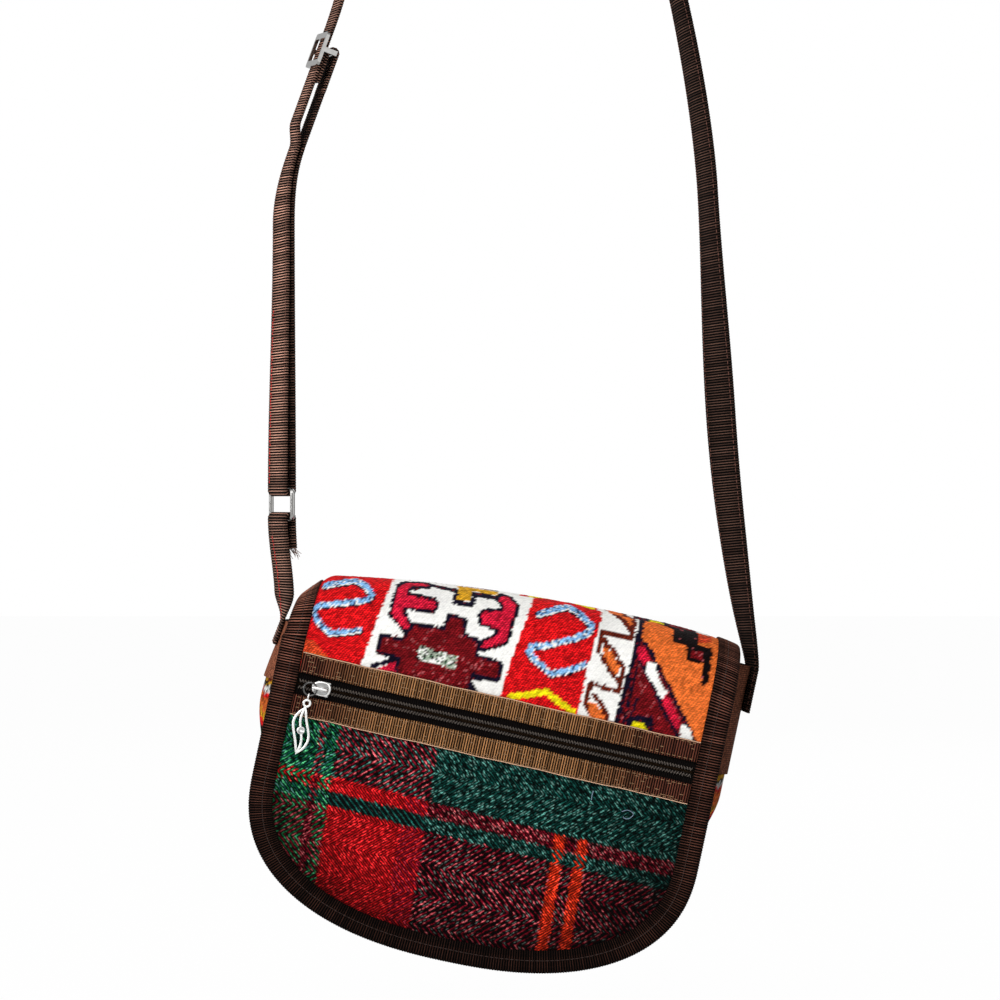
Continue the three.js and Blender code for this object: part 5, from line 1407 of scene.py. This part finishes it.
class BAG_OT_strap(Operator):
    """Runs the ribbed webbing strap: tab, long strap over the shoulder, return layer and sewn end"""
    bl_idname = "bag.strap"
    bl_label = "Strap"

    def execute(self, context):
        self.pitch = size("strap_rib") / STEPS
        self.material = woven("Strap webbing")
        self.rows, self.red_rows = [], []
        self.long_strap()
        self.tab()
        glide = stretch([GLIDE_BAR, GLIDE_END], (GLIDE_TWIST, GLIDE_TWIST), (0, 0))
        ends = [BEND_HIGH - 1.2 * LEAN, BEND_HIGH + 35.2 * LEAN]
        span = stretch(ends, (GLIDE_TWIST, GLIDE_TWIST), (0, 0))
        path = chained(lifted(span, -BAR_TURN, -1), pitch=self.pitch)
        # The return layer behind the strap gets painted shade.
        piece = self.band("strap_return_band", path, "bag", "strap_return", slim=0.2, lit=HIDDEN_LIGHT)
        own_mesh(piece)
        around = turn_round(end_of(glide, 0), BAR_TURN, 1)
        at, across, out = around
        low = [np.stack([at[0] - 22 * LEAN, at[0]]), across[:2], np.stack([out[0]] * 2)]
        tail = [np.stack([at[-1], at[-1] - 18 * LEAN]), across[:2], np.stack([out[-1]] * 2)]
        path = chained(low, around, tail, pitch=self.pitch)
        self.band("strap_end_band", path, "adjuster", "strap_end_loop")
        thread = plain("Strap thread", colour("strap_thread"), sheen=0.0)
        add_piece("strap_stitching", joined(*self.rows), thread, slot="webbing")
        red = plain("Red mending thread", colour("scarlet"), sheen=0.0)
        add_piece("strap_mending", joined(*self.red_rows), red, slot="webbing")
        return {"FINISHED"}

    def band(self, name, path, body, node, bend=None, slim=0.0, lit=1.0):
        """Webbing along a path, in place of a node: painted light to the left and painted shade to the right,
        times a painted light of its own.
        """
        _, at, across, out = path
        # Painted light on the left, painted shade on the right.
        light = (LEFT_LIGHT + (RIGHT_LIGHT - LEFT_LIGHT) * smooth(at[:, :1], -60, 60)) * lit
        piece, run = ribbed_band(
            name, at, across, out, self.material, BAND / 2 - slim, BAND_THICK - slim, rib=0.32, bend=bend,
            tones=np.c_[colour("strap") * light, np.full(len(at), RIB_SHADE)], edge_shade=0.8, body=body,
            stands_for=[node], slot="webbing")
        return piece

    def spots(self, path, first, last, step):
        """Even steps along a path: their numbers, distances, points, two directions and the way ahead."""
        places, at, across, out = path
        spots = np.arange(first, last, step)
        pick = np.searchsorted(places, spots).clip(1, len(places) - 2)
        return pick, spots, at[pick], across[pick], out[pick], unit(at[pick + 1] - at[pick - 1])

    def sew(self, path, first, last, bend=None, sides=(-1, 1), edges=(-10.4, 10.4)):
        """Stitch rows along a stretch of the band, on one face or both."""
        step = size("sewing_stitch")
        pick, _, at, across, out, way = self.spots(path, first, last, step)
        for edge in edges:
            rise = 0 if bend is None else bend[pick, None] * (2 * edge / BAND) ** 2
            for side in sides:
                spot = at + across * edge + out * (side * 0.9 + rise)
                self.rows.append(stitches(spot, way, out * side, step * 0.75, 0.24))

    def mend(self, path, first, last, edge, drift):
        """Red stitches by hand along an edge: each leans by a sine, and the row drifts across evenly."""
        _, spots, at, across, out, way = self.spots(path, first, last, MEND_STEP)
        sway = np.sin(np.arange(len(spots)) * 2.4)[:, None]
        shift = edge + drift * (spots - first)[:, None] / (last - first) + 0.5 * sway
        spot = at + across * shift + out * 0.95
        self.red_rows.append(stitches(spot, unit(way + 0.55 * sway * across), out, MEND_LONG, 0.3))

    def long_strap(self):
        """Strap from below the adjuster to the ring, round it, over the shoulder and down to the gusset."""
        straight, bent = ringline()
        back = [backwards(lifted(part, -BAR_TURN, -1)) for part in (bent, straight)]
        around = turn_round(end_of(straight, 0), BAR_TURN, -1)
        lift = BEND_HIGH + 14 * LEAN
        rise = stretch([BEND_HIGH, lift], (GLIDE_TWIST, GLIDE_TWIST), (CLOSE_LAYER, TOP_LAYER), 30)
        glide = stretch([lift, GLIDE_END], (GLIDE_TWIST, GLIDE_TWIST), (TOP_LAYER, TOP_LAYER))
        side = np.array([1.0, 0, 0])
        line = [GLIDE_END, GLIDE_END + ARCH_RISE * LEAN, CROWN - CROWN_REACH * side, CROWN]
        arch = stretch(line, (GLIDE_TWIST, 0), (TOP_LAYER, 0), 300)
        way = unit(RIGHT_TWO - RIGHT_ONE)
        line = [CROWN, CROWN + CROWN_REACH * side, RIGHT_ONE - ARCH_RISE * way, RIGHT_ONE]
        right = stretch(line, (0, ARM_TWIST), (0, 0), 300)
        upper = stretch([RIGHT_ONE, RIGHT_TWO], (ARM_TWIST, HIP_TWIST), (0, 0))
        line = [RIGHT_TWO, RIGHT_TWO + 95 * way, SEWN_HIGH + 8 * BAG_UP, SEWN_HIGH]
        lower = stretch(line, (HIP_TWIST, SEWN_TWIST), (0, 0))
        sewn = stretch([SEWN_HIGH, SEWN_LOW], (SEWN_TWIST, SEWN_TWIST), (0, 0), 20)
        rising = (straight, bent, rise, glide, arch, right, upper, lower, sewn)
        path = chained(*back, around, *map(raised, rising), pitch=self.pitch)
        places, at = path[:2]
        start = places[np.argmax(at[:, 2] > GLIDE_END[2] + 10)]
        end = places[-1]
        free = smooth(places, start, start + 60) * (1 - smooth(places, end - 110, end - 50))
        bend = free * (1.0 + 0.7 * np.sin(places / 70))
        turned = places[np.argmin(np.linalg.norm(at - HIGH_BAR, axis=1))]
        # Painted highlight on the left leg's front layer, from the ring up to the adjuster, and painted shade
        # on the layers behind.
        wear_and_glare = smooth(places, turned, turned + 30) * (1 - smooth(places, start - 120, start))
        front = smooth(places, turned - 8, turned + 8)
        lit = (HIDDEN_LIGHT + (1 - HIDDEN_LIGHT) * front) * (1 + GLARE_LIGHT * wear_and_glare)
        self.band("shoulder_strap_band", path, "bag", "shoulder_strap", bend, lit=lit[:, None])
        self.sew(path, start, end - 2, bend)
        middle = places[np.argmin(np.linalg.norm(at - HIGH_BAR - 20 * PLUMB, axis=1))]
        self.sew(path, middle + 30, start, sides=(1,))
        self.mend(path, turned + 6, turned + 104, 9.4, -1.0)

    def tab(self):
        """Tab from the gusset up to the ring, round its bar and back down inside."""
        rise = tab_rise()
        sewn = stretch([TAB_LOW, TAB_TOP], (TAB_TWIST, TAB_TWIST), (0, 0), 20)
        around = backwards(turn_round(end_of(rise, -1), BAR_TURN, 1))
        path = chained(raised(sewn), raised(rise), around, backwards(tab_inner()), pitch=self.pitch)
        # The tab gets a little painted shade.
        self.band("strap_tab_band", path, "bag", "strap_tab", lit=TAB_LIGHT)
        self.sew(path, 2, 66, sides=(1,), edges=(6.0,))
        self.mend(path, 14, 62, 3.0, 3.5)


# Half sizes of the rectangular ring, its corners and its wire.
RING_REACH, RING_CORNER, RING_WIRE = np.array([14.8, 7.9]), 2.2, 1.4


class BAG_OT_hardware(Operator):
    """Bends the rectangular ring from round wire and plates the adjuster and the magnetic snap"""
    bl_idname = "bag.hardware"
    bl_label = "Strap hardware and snap"

    def execute(self, context):
        metal = silver("Polished steel", colour("metal"), 0.08)
        turn = np.linspace(0, 2 * np.pi, 160, endpoint=False)
        way = np.stack([np.cos(turn), np.sin(turn)], -1)
        line = (RING_REACH - RING_CORNER) * np.sign(way) + way * RING_CORNER
        _, line = evenly(line, count=160, closed=True)
        ahead = unit(np.roll(line, -1, 0) - np.roll(line, 1, 0))
        normal = np.stack([ahead[:, 1], -ahead[:, 0]], -1)
        angle = math.radians(RING_TWIST)
        across = np.array([-math.sin(angle), math.cos(angle), 0])
        out = np.array([-math.cos(angle), -math.sin(angle), 0])
        at = (LOW_BAR + HIGH_BAR) / 2 + line[:, :1] * across + line[:, 1:] * PLUMB
        side = normal[:, :1] * across + normal[:, 1:] * PLUMB
        shape = sweep(at, side, np.broadcast_to(out, at.shape), circle(RING_WIRE, 14), True)
        add_piece("rect_ring_metal", shape, metal, stands_for=["rect_ring"], slot="metal")
        for node in ("tri_glide", "snap_stud", "snap_socket", "snap_stud_washer", "snap_socket_washer"):
            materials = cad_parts[node].data.materials
            materials.clear()
            materials.append(metal)
        return {"FINISHED"}


class BAG_OT_loose_ends(Operator):
    """Adds the frayed end of the tab's inner layer and two loose threads on the tartan"""
    bl_idname = "bag.loose_ends"
    bl_label = "Loose threads"

    def execute(self, context):
        chance = np.random.default_rng(21)
        end, across, inward, way = (item[0] for item in tab_inner())
        out = -inward
        share = np.linspace(0, 1, 9)[:, None]
        strands = []
        for place in np.linspace(-11.5, 11.5, 30):
            lean = chance.normal(0, 0.35)
            away = -way * chance.uniform(3, 7) + across * lean * 3 - out * chance.uniform(0.4, 3)
            line = end + across * place + way * 0.5 + away * share - out * share ** 2 * chance.uniform(0, 1.5)
            strands.append(tube(line, 0.16, 5))
        add_piece("tab_fray", joined(*strands), plain("Frayed strap yarn", colour("strap")), slot="webbing")
        share = np.linspace(-1, 1, 20)
        arch = 1 - share ** 2
        curls = []
        for x, down in (
                (60 - 0.3 * arch, 100.2 + 2.5 * share), (81 + 3.3 * share, 105.6 - 1.6 * arch),
                (81.5 + 2.7 * share, 107 + 1.7 * arch - share)):
            face = cloth_point(x, down, -pillow(x, down) - 0.4 - 0.4 * arch)
            curls.append(tube(on_bag(face), 0.22, 6))
        add_piece("tartan_threads", joined(*curls), plain("Loose thread", colour("loose")), slot="tartan")
        return {"FINISHED"}


# Stage, in metres

# Lamps by name, place, width and power, all aimed at one place.
LAMPS = (
    ("key", (-0.4, -1.4, 0.7), 1.2, 19.2), ("fill", (1.3, -1.5, 0.0), 1.5, 8.2),
    ("side", (-1.5, -0.5, -0.1), 0.8, 11.0), ("back", (0.5, 1.6, 0.5), 1.4, 14.0),
)
LAMP_AIM = np.array([0.0, 0.0, -0.45])
FLOOR_REACH, FLOOR_LOW = 6.0, -0.8
CAMERA_PLACE, LENS, SENSOR = (0.0055, -1.6411, -0.495), 104.73, 36
# Strength of the surroundings as light, of their reflection, and of the floor's own white where it is seen.
SOFT_LIGHT, REFLECTED, FLOOR_WHITE = 0.25, 0.5, 0.975


class BAG_OT_stage(Operator):
    """Sets the pale floor, the soft lights, the white surroundings and the camera"""
    bl_idname = "bag.stage"
    bl_label = "Stage"

    def execute(self, context):
        scene = context.scene
        scene.view_settings.view_transform = "Standard"
        mesh = bpy.data.meshes.new("floor")
        signs = ((-1, -1), (1, -1), (1, 1), (-1, 1))
        corners = [(x * FLOOR_REACH, y * FLOOR_REACH, FLOOR_LOW) for x, y in signs]
        mesh.from_pydata(corners, [], [(0, 1, 2, 3)])
        mesh.materials.append(self.paper())
        floor = self.put(scene, "floor", mesh)
        self.surroundings(scene)
        for name, place, width, power in LAMPS:
            data = bpy.data.lights.new(name, "AREA")
            data.energy, data.size = power, width
            aim = LAMP_AIM - place
            tilt = math.atan2(math.hypot(aim[0], aim[1]), -aim[2])
            self.put(scene, name, data, place, (tilt, 0, math.atan2(-aim[0], aim[1])))
        data = bpy.data.cameras.new("camera")
        data.lens, data.sensor_width = LENS, SENSOR
        scene.camera = self.put(scene, "camera", data, CAMERA_PLACE, (math.pi / 2, 0, 0))
        return {"FINISHED"}

    def put(self, scene, name, data, place=(0, 0, 0), turn=(0, 0, 0)):
        """Object of the stage, put in the scene at a place and turned."""
        thing = bpy.data.objects.new(name, data)
        thing.location, thing.rotation_euler = place, turn
        scene.collection.objects.link(thing)
        return thing

    def seen(self, tree):
        """One where the camera meets the surface, less in a reflection."""
        path = tree.nodes.new("ShaderNodeLightPath").outputs
        return calc(tree, "MULTIPLY_ADD", path["Is Glossy Ray"], REFLECTED, path["Is Camera Ray"])

    def paper(self):
        """Pale floor that reads as white paper and keeps a faint shadow."""
        values = {"Base Color": (0.9, 0.9, 0.9, 1), "Roughness": 0.9}
        material, tree, shader = new_material("White paper", values)
        white = tree.nodes.new("ShaderNodeEmission")
        mix = tree.nodes.new("ShaderNodeMixShader")
        tree.links.new(calc(tree, "MULTIPLY", self.seen(tree), FLOOR_WHITE), mix.inputs[0])
        tree.links.new(shader.outputs[0], mix.inputs[1])
        tree.links.new(white.outputs[0], mix.inputs[2])
        tree.links.new(mix.outputs[0], tree.nodes["Material Output"].inputs["Surface"])
        return material

    def surroundings(self, scene):
        """White where seen, and a soft grey as light."""
        world = bpy.data.worlds.new("studio")
        world.use_nodes = True
        scene.world = world
        tree = world.node_tree
        background = tree.nodes["Background"]
        background.inputs["Color"].default_value = (1, 1, 1, 1)
        strength = calc(tree, "MULTIPLY_ADD", self.seen(tree), 1 - SOFT_LIGHT, SOFT_LIGHT)
        tree.links.new(strength, background.inputs["Strength"])


PIECES = (
    BAG_OT_stage, BAG_OT_kilim, BAG_OT_tartan, BAG_OT_binding, BAG_OT_gusset, BAG_OT_lining, BAG_OT_zip,
    BAG_OT_pull, BAG_OT_strap, BAG_OT_hardware, BAG_OT_loose_ends,
)


class BAG_PT_panel(Panel):
    """Pieces and settings of the bag"""
    bl_label = "Kilim bag"
    bl_idname = "BAG_PT_panel"
    bl_space_type = "VIEW_3D"
    bl_region_type = "UI"
    bl_category = "Bag"

    def draw(self, context):
        for kind in PIECES:
            self.layout.operator(kind.bl_idname)
        for key in SIZES:
            self.layout.prop(context.scene.bag_sizes, key)
        for key in COLOURS:
            self.layout.prop(context.scene.bag_colours, key)


CLASSES = (BagSizes, BagColours, *PIECES, BAG_PT_panel)


def register():
    for kind in CLASSES:
        bpy.utils.register_class(kind)
    bpy.types.Scene.bag_sizes = PointerProperty(type=BagSizes)
    bpy.types.Scene.bag_colours = PointerProperty(type=BagColours)


def unregister():
    del bpy.types.Scene.bag_colours
    del bpy.types.Scene.bag_sizes
    for kind in reversed(CLASSES):
        bpy.utils.unregister_class(kind)


def main():
    register()
    bpy.ops.bag.stage()
    bpy.ops.bag.kilim()
    bpy.ops.bag.tartan()
    bpy.ops.bag.binding()
    bpy.ops.bag.gusset()
    bpy.ops.bag.lining()
    bpy.ops.bag.zip()
    bpy.ops.bag.pull()
    bpy.ops.bag.strap()
    bpy.ops.bag.hardware()
    bpy.ops.bag.loose_ends()


if __name__ == "__main__":
    main()
